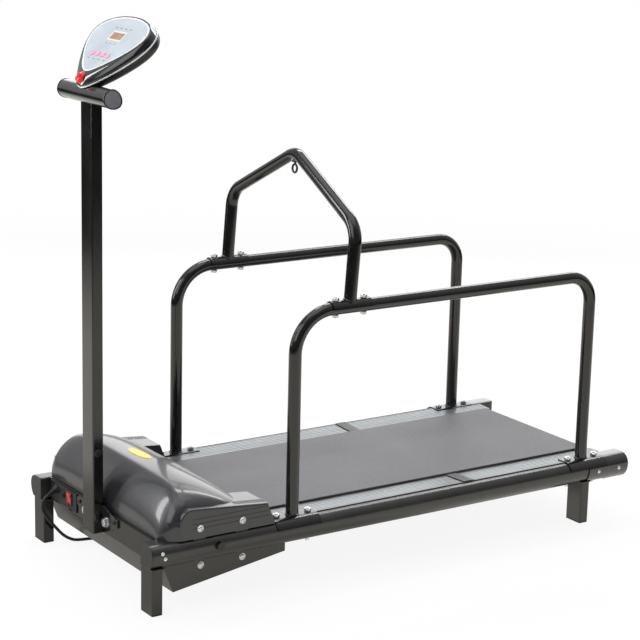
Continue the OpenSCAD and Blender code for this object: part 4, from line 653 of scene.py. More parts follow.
class FrameSettings(bpy.types.PropertyGroup):
    """Sizes of the steel frame."""

    tube: length_setting("Tube", "Diameter of handrails and arch", 2 * TUBE_R)
    handrail_bend: length_setting("Handrail bend", "Front bend radius of the handrails", 90)
    rear_bend: length_setting("Rear bend", "Rear bend radius of the handrails", 62)
    knee_bend: length_setting("Knee bend", "Bend radius of the arch's knees", 60)
    peak_bend: length_setting("Peak bend", "Bend radius of the arch's peak", 50)
    bead: length_setting("Weld bead", "Diameter of the weld beads", 4)


class LeadSettings(bpy.types.PropertyGroup):
    """Sizes of the mains lead."""

    diameter: length_setting("Diameter", "Diameter of the lead", 7)
    length: length_setting("Length", "Length of the free lead, without its gland and plug", 1800)


class HoodSettings(bpy.types.PropertyGroup):
    """Sizes of the motor hood's plain oval."""

    oval_length: length_setting("Oval length", "Length of the oval across the hood", 86)
    oval_width: length_setting("Oval width", "Width of the oval along the hood", 35)


class TreadmillSettings(bpy.types.PropertyGroup):
    """All settings of the treadmill."""

    stage: bpy.props.PointerProperty(type=StageSettings)
    steel: bpy.props.PointerProperty(type=FrameSettings)
    lead: bpy.props.PointerProperty(type=LeadSettings)
    hood: bpy.props.PointerProperty(type=HoodSettings)


# ---------------------------------------------------------------- stage


def look_through(lens):
    """The camera: its place, its aim and a slight roll."""
    azimuth, pitch, roll = map(math.radians, CAMERA_TURN)
    ahead = Vector(
        (-math.sin(azimuth) * math.cos(pitch), math.cos(azimuth) * math.cos(pitch), -math.sin(pitch))
    )
    right = ahead.cross(Vector((0, 0, 1))).normalized()
    up = right.cross(ahead)
    side = math.cos(roll) * right + math.sin(roll) * up
    top = math.cos(roll) * up - math.sin(roll) * right
    data = bpy.data.cameras.new("camera")
    data.lens, data.sensor_width = lens, SENSOR_W
    camera = bpy.data.objects.new("camera", data)
    turn = Matrix((side, top, -ahead)).transposed().to_4x4()
    camera.matrix_world = Matrix.Translation(at(*CAMERA_AT)) @ turn
    bpy.context.scene.collection.objects.link(camera)
    bpy.context.scene.camera = camera


def soft_light(name, place, aim, size, power):
    """Large soft light that the camera itself doesn't see."""
    data = bpy.data.lights.new(name, "AREA")
    data.shape, data.size, data.size_y, data.energy = "RECTANGLE", size[0], size[1], power
    light = bpy.data.objects.new(name, data)
    light.location = place
    light.rotation_euler = (aim - place).to_track_quat("-Z", "Y").to_euler()
    light.visible_camera = False
    bpy.context.scene.collection.objects.link(light)


def studio_world(ambient):
    """Soft light from all round: bright above and behind, dim on the camera's side, white to the camera."""
    world = bpy.data.worlds.new("studio")
    bpy.context.scene.world = world
    world.use_nodes = True
    tree = world.node_tree
    tree.nodes.clear()
    way = add(tree, "ShaderNodeTexCoord").outputs["Generated"]
    back = tuple(Vector(BRIGHT_WAY).normalized())
    facing = add(tree, "ShaderNodeVectorMath", {0: way, 1: back}, operation="DOT_PRODUCT").outputs["Value"]
    span = {"Value": facing, **dict(zip(RANGE, BRIGHT_SPAN))}
    level = add(tree, "ShaderNodeMapRange", span, interpolation_type="SMOOTHSTEP").outputs["Result"]
    strength = add(tree, "ShaderNodeMath", {0: level, 1: ambient}, operation="MULTIPLY").outputs[0]
    studio = add(tree, "ShaderNodeBackground", {"Color": WHITE, "Strength": strength})
    white = add(tree, "ShaderNodeBackground", {"Color": WHITE, "Strength": 1.0})
    path = add(tree, "ShaderNodeLightPath").outputs
    rays = {0: path["Is Camera Ray"], 1: path["Is Transmission Ray"]}
    seen = add(tree, "ShaderNodeMath", rays, operation="MAXIMUM").outputs[0]
    shown = add(tree, "ShaderNodeMixShader", {0: seen, 1: studio.outputs[0], 2: white.outputs[0]})
    add(tree, "ShaderNodeOutputWorld", {"Surface": shown.outputs[0]})


def pale_floor(colour):
    """Large pale floor that keeps the shadow: white to the camera and, nearby, in reflections, where it
    shows a painted glow with painted shade in a patch below the machine and far off.
    """
    bm = bmesh.new()
    bmesh.ops.create_grid(bm, x_segments=1, y_segments=1, size=FLOOR_HALF)
    floor = bpy.data.objects.new("floor", mesh_of(bm, "floor"))
    floor.location = (0, 0, -FLOOR_DROP)
    bpy.context.scene.collection.objects.link(floor)
    material = bpy.data.materials.new("pale_floor")
    material.use_nodes = True
    tree = material.node_tree
    shader = tree.nodes["Principled BSDF"]
    shader.inputs["Base Color"].default_value = colour
    shader.inputs["Roughness"].default_value = FLOOR_ROUGH
    shader.inputs["Specular IOR Level"].default_value = FLOOR_SHINE
    path = add(tree, "ShaderNodeLightPath").outputs
    glossy = path["Is Glossy Ray"]
    where = add(tree, "ShaderNodeTexCoord").outputs["Object"]
    patch = {"Vector": where, "Location": SHADE_PATCH_PLACE, "Scale": SHADE_PATCH_SCALE}
    below = add(tree, "ShaderNodeMapping", patch, vector_type="TEXTURE").outputs["Vector"]
    # Painted shade in reflections: the glow that glossy rays see is dimmed in a patch below the machine and
    # far away
    losses = []
    for place, span in ((below, SHADE_PATCH_LOSS), (where, FAR_LOSS)):
        reach = add(tree, "ShaderNodeVectorMath", {0: place}, operation="LENGTH").outputs["Value"]
        span = {"Value": reach, **dict(zip(RANGE, span))}
        fall = add(tree, "ShaderNodeMapRange", span, interpolation_type="SMOOTHSTEP")
        losses.append(fall.outputs["Result"])
    loss = add(tree, "ShaderNodeMath", {0: losses[0], 1: losses[1]}, operation="ADD").outputs[0]
    level = add(tree, "ShaderNodeMath", {0: glossy, 1: loss, 2: 1.0}, operation="MULTIPLY_ADD").outputs[0]
    # Glossy rays see the glow with a warm painted tint
    tint = add(tree, "ShaderNodeMix", {0: glossy, 6: WHITE, 7: GLOW_TINT}, data_type="RGBA")
    glow = add(tree, "ShaderNodeEmission", {"Color": tint.outputs[2], "Strength": level})
    gain = {0: losses[1], 1: FAR_GAIN, 2: NEAR_SHARE}
    white = add(tree, "ShaderNodeMath", gain, operation="MULTIPLY_ADD").outputs[0]
    rays = {0: glossy, 1: path["Is Transmission Ray"]}
    passed = add(tree, "ShaderNodeMath", rays, operation="MAXIMUM").outputs[0]
    rays = {0: path["Is Camera Ray"], 1: white, 2: passed}
    share = add(tree, "ShaderNodeMath", rays, operation="MULTIPLY_ADD").outputs[0]
    shown = add(tree, "ShaderNodeMixShader", {0: share, 1: shader.outputs[0], 2: glow.outputs[0]})
    tree.links.new(shown.outputs[0], tree.nodes["Material Output"].inputs["Surface"])
    floor.data.materials.append(material)


class MakeStage(bpy.types.Operator):
    """Camera, lights, world and floor"""

    bl_idname = "treadmill.make_stage"
    bl_label = "Stage"

    def execute(self, context):
        stage = context.scene.treadmill.stage
        context.scene.view_settings.view_transform = "Standard"
        look_through(stage.lens)
        studio_world(stage.ambient)
        pale_floor(stage.floor_colour)
        for name, (place, aim, size) in LIGHTS.items():
            soft_light(name, at(*place), at(*aim), size, getattr(stage, name + "_light"))
        return {"FINISHED"}


# ---------------------------------------------------------------- mains lead


def smoothed(points, steps):
    """A finer line through the points, bending smoothly."""
    ends = [points[0] * 2 - points[1], *points, points[-1] * 2 - points[-2]]
    line = []
    for a, b, c, d in zip(ends, ends[1:], ends[2:], ends[3:]):
        square, cube = 2 * a - 5 * b + 4 * c - d, 3 * b - a - 3 * c + d
        for i in range(steps):
            t = i / steps
            line.append(0.5 * (2 * b + (c - a) * t + square * t**2 + cube * t**3))
    return line + [points[-1]]


def lead_line():
    """The lead's axis from its gland, down to the floor and round the coil."""
    way = Vector((-math.cos(GLAND_TILT), 0, -math.sin(GLAND_TILT)))
    start = Vector(GLAND) + GLAND_LEN * way
    coil = Vector((COIL_X - COIL_LEAD, COIL_Y + COIL_R, COIL_Z))
    line = smoothed([start, start + GLAND_OUT * way, *map(Vector, ROUTE), coil], ROUTE_STEPS)
    inner = COIL_R - COIL_PITCH * COIL_TURNS
    for i in range(int((2 * COIL_TURNS + 0.5) * COIL_STEPS) + 1):
        u = i / COIL_STEPS
        if u < COIL_TURNS:
            radius = COIL_R - COIL_PITCH * u
        elif u < COIL_TURNS + 0.5:
            radius = inner - COIL_PITCH * min(u - COIL_TURNS, COIL_TURNS + 0.5 - u)
        else:
            radius = inner + COIL_PITCH * (u - COIL_TURNS - 0.5)
        t = min(1.0, max(0.0, 2 * (u - COIL_TURNS)))
        a = 2 * math.pi * u
        height = COIL_Z + COIL_PITCH * t * t * (3 - 2 * t)
        line.append(Vector((COIL_X + radius * math.sin(a), COIL_Y + radius * math.cos(a), height)))
    top = COIL_Z + COIL_PITCH
    line += [Vector((COIL_X - COIL_TAIL * f, COIL_Y - COIL_R, top)) for f in (0.25, 0.5, 0.75, 1.0)]
    return [at(*p) for p in line]


class MakeLead(bpy.types.Operator):
    """Mains lead with its gland, coil, tie and plug"""

    bl_idname = "treadmill.make_lead"
    bl_label = "Mains lead"

    def execute(self, context):
        lead = context.scene.treadmill.lead
        line = lead_line()
        curve = bpy.data.curves.new("mains_lead", "CURVE")
        curve.dimensions, curve.bevel_depth, curve.bevel_resolution = "3D", lead.diameter / 2, 4
        curve.use_fill_caps = True
        spline = curve.splines.new("POLY")
        spline.points.add(len(line) - 1)
        for point, place in zip(spline.points, line):
            point.co = (*place, 1.0)
        curve.materials.append(finish("flexible_pvc"))
        cord = bpy.data.objects.new("mains_lead", curve)
        context.scene.collection.objects.link(cord)
        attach(cord, "frame")
        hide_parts("power_cord", "cord_coil")

        tie = softened("cord_tie", "lead_tie", ["black_nylon"], 0.3)
        blades = at(COIL_X - COIL_TAIL - PLUG_NECK - PLUG_LEN, 0, 0).x - 0.0001
        finishes = ["flexible_pvc", "bright_zinc_plate"]
        plug = softened("power_plug", "mains_plug", finishes, 1.2, pick=lambda c: int(c.x < blades))
        gland = self.gland()
        return {"FINISHED"}

    def gland(self):
        """Ribbed bend relief with its flange."""
        bm = bmesh.new()
        seat = Matrix.Translation(at(*GLAND))
        profile = list(GLAND_FOOT)
        for i in range(RIBS):
            profile += [(RIB_R - RIB_TAPER * i - sink, z + RIB_PITCH * i) for sink, z in RIB]
        turned(bm, profile + list(GLAND_TIP), seat @ Matrix.Rotation(-math.pi / 2 - GLAND_TILT, 4, "Y"))
        turned(bm, GLAND_FLANGE, seat @ Matrix.Rotation(-math.pi / 2, 4, "Y"))
        return show("lead_gland", bm, ["flexible_pvc"], nodes=("cord_gland",))


# ---------------------------------------------------------------- steel frame


class MakeRails(bpy.types.Operator):
    """Side rails, their front caps and their rear sleeves"""

    bl_idname = "treadmill.make_rails"
    bl_label = "Side rails"

    def execute(self, context):
        caps = bmesh.new()
        for side, label in HANDS.items():
            def place(u, v, d, side=side):
                return at(d, side * (RAIL_IN + u), LEG_H + v)

            bm = bmesh.new()
            prism(bm, rail_outline(), place, 0, RAIL_LEN, RAIL_EDGE)
            show(f"{label}_rail", bm, ["satin_coated_steel"], nodes=(f"{label}_side_rail",))
            prism(caps, rail_outline(), place, -CAP_T, -CAP_GAP, CAP_EDGE)
        show("rail_end_caps", caps, ["black_polyethylene"], nodes=("rail_front_caps",))
        softened("rail_rear_caps", "rail_sleeves", ["gloss_moulded_abs"], 1.0)
        return {"FINISHED"}


def arch_point(y, z):
    """A point in the leaning plane of the arch."""
    return at(ARCH_X + z * math.sin(ARCH_LEAN), y, HANDRAIL_Z + z * math.cos(ARCH_LEAN))


class MakeTubes(bpy.types.Operator):
    """Handrails, arch, saddles and leash eye"""

    bl_idname = "treadmill.make_tubes"
    bl_label = "Handrails and arch"

    def execute(self, context):
        steel = context.scene.treadmill.steel
        front, rear = POST_XS
        for side, label in HANDS.items():
            corners = (
                (front, POST_FOOT, 0.0), (front, HANDRAIL_Z, steel.handrail_bend),
                (rear, HANDRAIL_Z, steel.rear_bend), (rear, POST_FOOT, 0.0),
            )
            line = [(at(x, side * POST_Y, z), bend) for x, z, bend in corners]
            name = f"{label}_rail_tube"
            show(name, tubes(name, [line], steel.tube, TUBE_SIDES), [], nodes=(f"{label}_handrail",))
        corners = (
            (-POST_Y, ARCH_FOOT, 0.0), (-POST_Y, KNEE_RISE, steel.knee_bend),
            (0, KNEE_RISE + PEAK_RISE, steel.peak_bend),
            (POST_Y, KNEE_RISE, steel.knee_bend), (POST_Y, ARCH_FOOT, 0.0),
        )
        line = [(arch_point(y, z), bend) for y, z, bend in corners]
        show("arch_tube", tubes("arch_tube", [line], steel.tube, TUBE_SIDES), [], nodes=("arch",))
        softened("saddle_feet", "saddles", ["powder_coated_steel"], 0.7)
        softened("leash_eye", "leash_ring", ["black_oxide_steel"], 0.5)
        return {"FINISHED"}


class MakeWelds(bpy.types.Operator):
    """Weld beads round the feet of the posts, the arch and the legs"""

    bl_idname = "treadmill.make_welds"
    bl_label = "Weld beads"

    def execute(self, context):
        steel = context.scene.treadmill.steel
        radius = steel.tube / MM / 2
        reach = radius + SEAT_GAP + SADDLE_T
        circle = [(radius * math.cos(a), radius * math.sin(a)) for a in around(WELD_TURN)]
        corners = [(-1, -1), (1, -1), (1, 1), (-1, 1)]
        oblong = []
        for (a, b), (c, d) in zip(corners, corners[1:] + corners[:1]):
            shares = [i / WELD_STEPS for i in range(WELD_STEPS)]
            oblong += [((a + (c - a) * f) * LEG_D / 2, (b + (d - b) * f) * LEG_W / 2) for f in shares]
        lines = []
        for y in (side * POST_Y for side in HANDS):
            for x in POST_XS:
                lines.append([at(x + u, y + v, RAIL_TOP + SADDLE_T + WELD_LIFT) for u, v in circle])
            x = ARCH_X + reach * math.sin(ARCH_LEAN)
            rise = HANDRAIL_Z + ARCH_WELD_LIFT
            lines.append([at(x + u, y + v, rise + math.sqrt(reach**2 - v**2)) for u, v in circle])
            for x in LEG_XS:
                lines.append([at(x + u, y + v, LEG_H - WELD_LIFT) for u, v in oblong])
        wave = Vector((0, 0, WELD_WAVE * MM))
        beads = [[(p + wave * math.sin(i * WELD_BEAT), 0.0) for i, p in enumerate(line)] for line in lines]
        show("weld_beads", tubes("weld_beads", beads, steel.bead, BEAD_SIDES, closed=True), [])
        return {"FINISHED"}


class MakeSteelwork(bpy.types.Operator):
    """Legs, feet, beams, mast and its wings"""

    bl_idname = "treadmill.make_steelwork"
    bl_label = "Legs, beams and mast"

    def execute(self, context):
        for node, name, label, edge in (
            ("legs", "leg_tubes", "powder_coated_steel", 0.5),
            ("tube_plugs", "tube_feet", "black_nylon", 0.8),
            ("front_beam", "front_cross_tube", "powder_coated_steel", 1.2),
            ("mast", "mast_tube", "powder_coated_steel", 0.5),
            ("mast_wings", "mast_wing_plates", "powder_coated_steel", 0.6),
            ("belly_pan", "belly_tray", "satin_coated_steel", 0.4),
            ("rail_tabs", "cover_tabs", "powder_coated_steel", 0.3),
        ):
            softened(node, name, [label], edge)
        dressed("powder_coated_steel", "cross_beams", "roller_hangers", "motor_plate")
        return {"FINISHED"}


# ---------------------------------------------------------------- belt and drive


def strip_height(u):
    """Top of a foot strip, which rises a little towards its rail."""
    return STRIP_TOP + STRIP_RISE * (u - STRIP_IN)


class MakeBelt(bpy.types.Operator):
    """Running belt, foot strips and their clips"""

    bl_idname = "treadmill.make_belt"
    bl_label = "Belt and strips"

    def execute(self, context):
        front, rear = ((x, ROLLER_Z) for x in ROLLER_XS)
        inner, outer = (
            arc(front, r, 90, 270, LOOP_STEPS) + arc(rear, r, 270, 450, LOOP_STEPS)
            for r in (LOOP_R, LOOP_R + BELT_T)
        )
        fine = mixed(outer, inner, BELT_EDGE / BELT_T)
        half = BELT_W / 2
        rings = [(inner, -half), (fine, -half), (outer, BELT_EDGE - half)]
        rings += [(outer, half - BELT_EDGE), (fine, half), (inner, half)]
        rings = [[at(u, d, v) for u, v in loop] for loop, d in rings]
        bm = bmesh.new()
        skin(bm, rings + rings[:1], caps=False)
        bmesh.ops.remove_doubles(bm, verts=bm.verts, dist=1e-6)
        show("belt_loop", bm, ["pebbled_belt_pvc"], nodes=("running_belt",))
        self.strips()
        dressed("laminated_fibreboard", "deck_board")
        return {"FINISHED"}

    def strips(self):
        """Ribbed foot strips, a black lip along their outer edge that paints the shaded line between strip
        and rail, and the clip across each.
        """
        strips, shade_lip, clips = bmesh.new(), bmesh.new(), bmesh.new()
        foot, low, top = RAIL_TOP + STRIP_GAP, STRIP_TOP - STRIP_T, strip_height(STRIP_OUT)
        outline = [(STRIP_OUT, foot), (STRIP_OUT, top)]
        u = STRIP_OUT - DIP_START
        while u > STRIP_IN + DIP_END:
            outline += [(u - across, strip_height(u - across) - deep) for across, deep in STRIP_DIPS]
            u -= DIP_PITCH
        fold = RAIL_IN - FOLD_T
        outline += [(STRIP_IN, STRIP_TOP), (STRIP_IN, low), (fold, low), (fold, low - FOLD_H)]
        outline += [(RAIL_IN - FOLD_GAP, low - FOLD_H), (RAIL_IN - FOLD_GAP, foot)]
        lip = [(LIP_IN, foot)] + [(u, top + rise) for u, rise in LIP_CREST] + [(LIP_OUT, foot)]
        clip = [(u, strip_height(u) + STRIP_GAP) for u in CLIP_ENDS]
        clip += [(u, strip_height(u) + CLIP_T) for u in CLIP_ENDS[::-1]]
        for side in HANDS:
            def place(u, v, d, side=side):
                return at(d, side * u, v)

            prism(strips, outline, place, *STRIP_X)
            prism(shade_lip, [(STRIP_OUT + u, v) for u, v in lip], place, *STRIP_X)
            prism(clips, clip, place, *CLIP_X, CLIP_EDGE)
        show("foot_strips", strips, ["anodised_aluminium"], nodes=("side_strips",))
        show("strip_edging", shade_lip, ["black_nylon"])
        show("strip_covers", clips, ["black_nylon"], nodes=("strip_clips",))


class MakeDrive(bpy.types.Operator):
    """Rollers, motor, pulleys and controller"""

    bl_idname = "treadmill.make_drive"
    bl_label = "Drive"

    def execute(self, context):
        dressed("ground_steel", "front_roller", "rear_roller", "roller_axles")
        dressed("ground_steel", "front_bearings", "rear_bearings")
        dressed("black_nylon", "drive_pulley", "motor_pulley")
        dressed("stoved_motor_paint", "drive_motor", "motor_controller")
        dressed("vulcanised_rubber", "drive_belt")
        return {"FINISHED"}


# ---------------------------------------------------------------- motor hood


def hood_height(x, wall):
    """Height of the dome over its base at x."""
    if x <= CROWN_X:
        f = min(1.0, max(0.0, (x - HOOD_X - wall) / (CROWN_X - HOOD_X - wall)))
        rise = (1 - (1 - f) ** FRONT_POWER) ** (1 / FRONT_POWER)
        return (HOOD_H - wall) * (LIP_SHARE + (1 - LIP_SHARE) * rise)
    r = (x - CROWN_X) / (HOOD_REAR_X - CROWN_X)
    return HOOD_H - wall - (HOOD_H - HOOD_REAR_H) * r * r


def hood_half_width(x, wall):
    """Half width of the dome at x, with its rounded front corners."""
    c = min(1.0, max(0.0, (HOOD_X + wall + HOOD_CORNER_R - x) / HOOD_CORNER_R))
    return HOOD_HALF - wall - HOOD_CORNER_R * (1 - math.sqrt(1 - c * c))


def hood_point(x, a, wall, rise=1.0):
    """A point of the dome at x, at an angle round its section."""
    across = hood_half_width(x, wall) * math.copysign(abs(math.cos(a)) ** (2 / SIDE_POWER), math.cos(a))
    return at(x, across, HOOD_Z + rise * hood_height(x, wall) * math.sin(a) ** (2 / SIDE_POWER))


def hood_top(x, y):
    """Height of the dome's skin over a point."""
    share = min(1.0, abs(y) / hood_half_width(x, 0)) ** (SIDE_POWER / 2)
    return HOOD_Z + hood_height(x, 0) * math.sin(math.acos(share)) ** (2 / SIDE_POWER)


def cheek_top(x):
    """Top of a cheek at x, behind its rounded front corner."""
    start, end = HOOD_X + CHEEK_SET + CHEEK_R, WING_X1 - WING_BEVEL
    return HOOD_Z + CHEEK_H - (CHEEK_H - CHEEK_REAR_H) * (x - start) / (end - start)


def hood_rows(wall):
    """Rows of points over the dome, from its front edge to its rear edge."""
    front = HOOD_X + wall
    shares = [1 - math.cos(math.pi / 2 * i / FRONT_ROWS) for i in range(1, FRONT_ROWS + 1)]
    xs = [front + FIRST_ROW] + [front + (CROWN_X - HOOD_X - wall) * share for share in shares]
    xs += [CROWN_X + (HOOD_REAR_X - CROWN_X) * i / REAR_ROWS for i in range(1, REAR_ROWS + 1)]
    sweep = math.pi - 2 * SKIRT_ANGLE
    angles = [SKIRT_ANGLE + sweep * i / HOOD_COLUMNS for i in range(HOOD_COLUMNS + 1)]

    def row(x, rise):
        w = hood_half_width(x, wall)
        return [at(x, w, HOOD_Z)] + [hood_point(x, a, wall, rise) for a in angles] + [at(x, -w, HOOD_Z)]

    return [row(front, 0.0)] + [row(x, 1.0) for x in sorted(xs)]


class MakeHood(bpy.types.Operator):
    """Moulded motor hood, its side cheeks and its plain oval"""

    bl_idname = "treadmill.make_hood"
    bl_label = "Motor hood"

    def execute(self, context):
        self.dome()
        self.cheeks()
        self.oval(context.scene.treadmill.hood)
        return {"FINISHED"}

    def dome(self):
        """Shell of one wall thickness, and the low wall that closes its rear over the belt."""
        bm = bmesh.new()
        grids = [hood_rows(wall) for wall in (0, HOOD_WALL)]
        outer, inner = ([[bm.verts.new(p) for p in row] for row in grid] for grid in grids)
        for grid in (outer, inner):
            for a, b in zip(grid, grid[1:]):
                quads(bm, a, b)
        for end in (0, -1):
            quads(bm, outer[end], inner[end])
        for end in (0, -1):
            quads(bm, [row[end] for row in outer], [row[end] for row in inner])
        bmesh.ops.remove_doubles(bm, verts=bm.verts, dist=1e-7)
        half, drop = REAR_WALL_HALF, HOOD_WALL + SEAT_GAP
        ys = [half - 2 * half * i / REAR_WALL_STEPS for i in range(REAR_WALL_STEPS + 1)]
        crest = [(y, hood_top(HOOD_REAR_X, y) - drop) for y in ys]
        line = [(half, REAR_WALL_Z), *crest, (-half, REAR_WALL_Z)]
        prism(bm, line, lambda u, v, d: at(d, u, v), HOOD_REAR_X - HOOD_WALL, HOOD_REAR_X, REAR_WALL_EDGE)
        show("hood_dome", bm, ["hood_moulded_abs"], nodes=("motor_hood",), angle=DOME_ANGLE)

    def cheeks(self):
        """Raised side panels with rolled edges and grooves, and the wings behind the dome."""
        start, end, bevel = HOOD_X + CHEEK_SET, WING_X1, WING_X1 - WING_BEVEL
        panel = [(start, HOOD_Z)] + arc((start + CHEEK_R, HOOD_Z + CHEEK_H - CHEEK_R), CHEEK_R, 180, 90, 16)
        panel += [(bevel, cheek_top(bevel)), (end, HOOD_Z)]
        steps = [(0.0, CHEEK_Y - CHEEK_DEPTH)]
        for a in (math.pi / 2 * i / ROLL_STEPS for i in range(ROLL_STEPS + 1)):
            steps.append((ROLL * (1 - math.cos(a)), CHEEK_Y - ROLL + ROLL * math.sin(a)))
        solid, cut = bmesh.new(), bmesh.new()
        for side in HANDS:
            rings = []
            for d, y in steps:
                line = inset(panel, d)
                line[0], line[-1] = (line[0][0], HOOD_Z), (line[-1][0], HOOD_Z)
                rings.append([at(x, side * y, z) for x, z in line])
            skin(solid, rings)
            for z in (HOOD_Z + share * CHEEK_H for share in GROOVE_SHARES):
                first, top = start + CHEEK_R, z + GROOVE_W
                slot = [(first, z), (bevel, z), (bevel, top), (first, top)]
                skin(cut, [[at(u, side * y, v) for u, v in slot] for y in (CHEEK_Y - 1, CHEEK_Y + 1)])
        mesh = carved(solid, cut, "cheek_panels")
        bm = bmesh.new()
        bm.from_mesh(mesh)
        bpy.data.meshes.remove(mesh)
        for side in HANDS:
            self.toe(bm, side)
            self.wing(bm, side)
        show("hood_side_cheeks", bm, ["hood_moulded_abs"], nodes=("hood_cheeks",))

    def toe(self, bm, side):
        """Ramp that leads from the dome's flank up to a panel."""
        toe = [(TOE_X + TOE_LEN * u, CHEEK_Y - v) for u, v in TOE_SHARES]
        toe += [(TOE_X + TOE_LEN, CHEEK_Y - TOE_DEPTH), (TOE_X, CHEEK_Y - TOE_DEPTH)]
        steps = [(sink, HOOD_Z + share * TOE_H) for sink, share in TOE_STEPS]
        skin(bm, [[at(x, side * (y - sink), z) for x, y in toe] for sink, z in steps])

    def wing(self, bm, side):
        """Block that carries a cheek on behind the dome, as far in as the belt."""
        lead, bevel = HOOD_REAR_X - WING_LEAD, WING_X1 - WING_BEVEL
        steps = [(d, WING_Y + out, WING_FOOT) for d, out in WING_EDGE]
        steps += [(0.0, y, HOOD_Z) for y in WING_SEAT]
        rings = []
        for d, y, foot in steps:
            lean = WING_BEVEL * (foot - HOOD_Z) / (cheek_top(bevel) - HOOD_Z)
            outline = [(lead, foot)] + [(x, cheek_top(x)) for x in (lead, bevel)] + [(WING_X1 - lean, foot)]
            rings.append([at(x, side * y, z) for x, z in inset(outline, d)])
        skin(bm, rings)

    def oval(self, sizes):
        """Plain oval film that follows the dome."""
        bm = bmesh.new()
        long, short = sizes.oval_length / MM / 2, sizes.oval_width / MM / 2

        def ring(share, lift):
            spots = [(short * share * math.cos(a), long * share * math.sin(a)) for a in around(OVAL_SIDES)]
            spots = [(OVAL_X + u, OVAL_Y + v) for u, v in spots]
            return [at(x, y, hood_top(x, y) + lift) for x, y in spots]

        rings = [ring(*step) for step in OVAL_EDGE]
        rings += [ring(share, OVAL_LIFT + OVAL_CROWN * (1 - share)) for share in OVAL_SHARES]
        skin(bm, rings)
        show("hood_oval", bm, ["yellow_vinyl"])


# ---------------------------------------------------------------- power panel


class MakePanel(bpy.types.Operator):
    """Power panel, switch frame and rocker"""

    bl_idname = "treadmill.make_panel"
    bl_label = "Power panel"

    def execute(self, context):
        softened("power_panel", "socket_panel", ["black_nylon"], 0.6)
        softened("switch_frame", "switch_surround", ["gloss_moulded_abs"], 0.5)
        softened("rocker", "rocker_key", ["red_polycarbonate"], 0.6, body="power_rocker")
        return {"FINISHED"}


# ---------------------------------------------------------------- console


def tbar_ring(grow, y):
    """Leaning egg section of the T-bar, grown outwards, at y."""
    outline = egg(-grow - TBAR_SIZE / 2, TBAR_SIZE + 2 * grow, TBAR_HALF + grow, TBAR_TAPER, 72)
    c, s = math.cos(TBAR_LEAN), math.sin(TBAR_LEAN)
    return [at(TBAR_X + (u * c - v * s), y, TBAR_Z + (u * s + v * c)) for u, v in outline]


class MakeTBar(bpy.types.Operator):
    """T-bar under the console, with its end caps"""

    bl_idname = "treadmill.make_t_bar"
    bl_label = "T-bar"

    def execute(self, context):
        bar, caps = bmesh.new(), bmesh.new()
        inner = TBAR_HALF_LEN - TBAR_CAP_T
        skin(bar, [tbar_ring(0, -inner), tbar_ring(0, inner)])
        show("t_bar_tube", bar, ["gloss_moulded_abs"], nodes=("t_bar",))
        for side in HANDS:
            for slot, steps in enumerate((CAP_RIM, CAP_PLATE)):
                skin(caps, [tbar_ring(grow, side * (inner + out)) for grow, out in steps], slot=slot)
        show("t_bar_end_caps", caps, ["gloss_moulded_abs", "grey_polyethylene"], nodes=("t_bar_caps",))
        return {"FINISHED"}


def console_skin(bm, steps):
    """Skin through (outline, height) pairs over the console's face."""
    skin(bm, [[on_console(s, w, h) for s, w in outline] for outline, h in steps])


def face_outline(grow):
    """Outline of the console's face, grown outwards."""
    return egg(-grow, FACE_LEN + 2 * grow, FACE_HALF + grow, FACE_TAPER)


def house_outline(grow):
    """Outline of the console's housing, grown outwards."""
    length = HOUSE_LEAD + FACE_LEN + HOUSE_TAIL
    return egg(-HOUSE_LEAD - grow, length + 2 * grow, HOUSE_HALF + grow, HOUSE_TAPER)


def key_seat():
    """Place of the safety key: its own z runs out of the face."""
    return Matrix.Translation(on_console(KEY_S, 0, 0)) @ Matrix.Rotation(-TILT, 4, "Y")


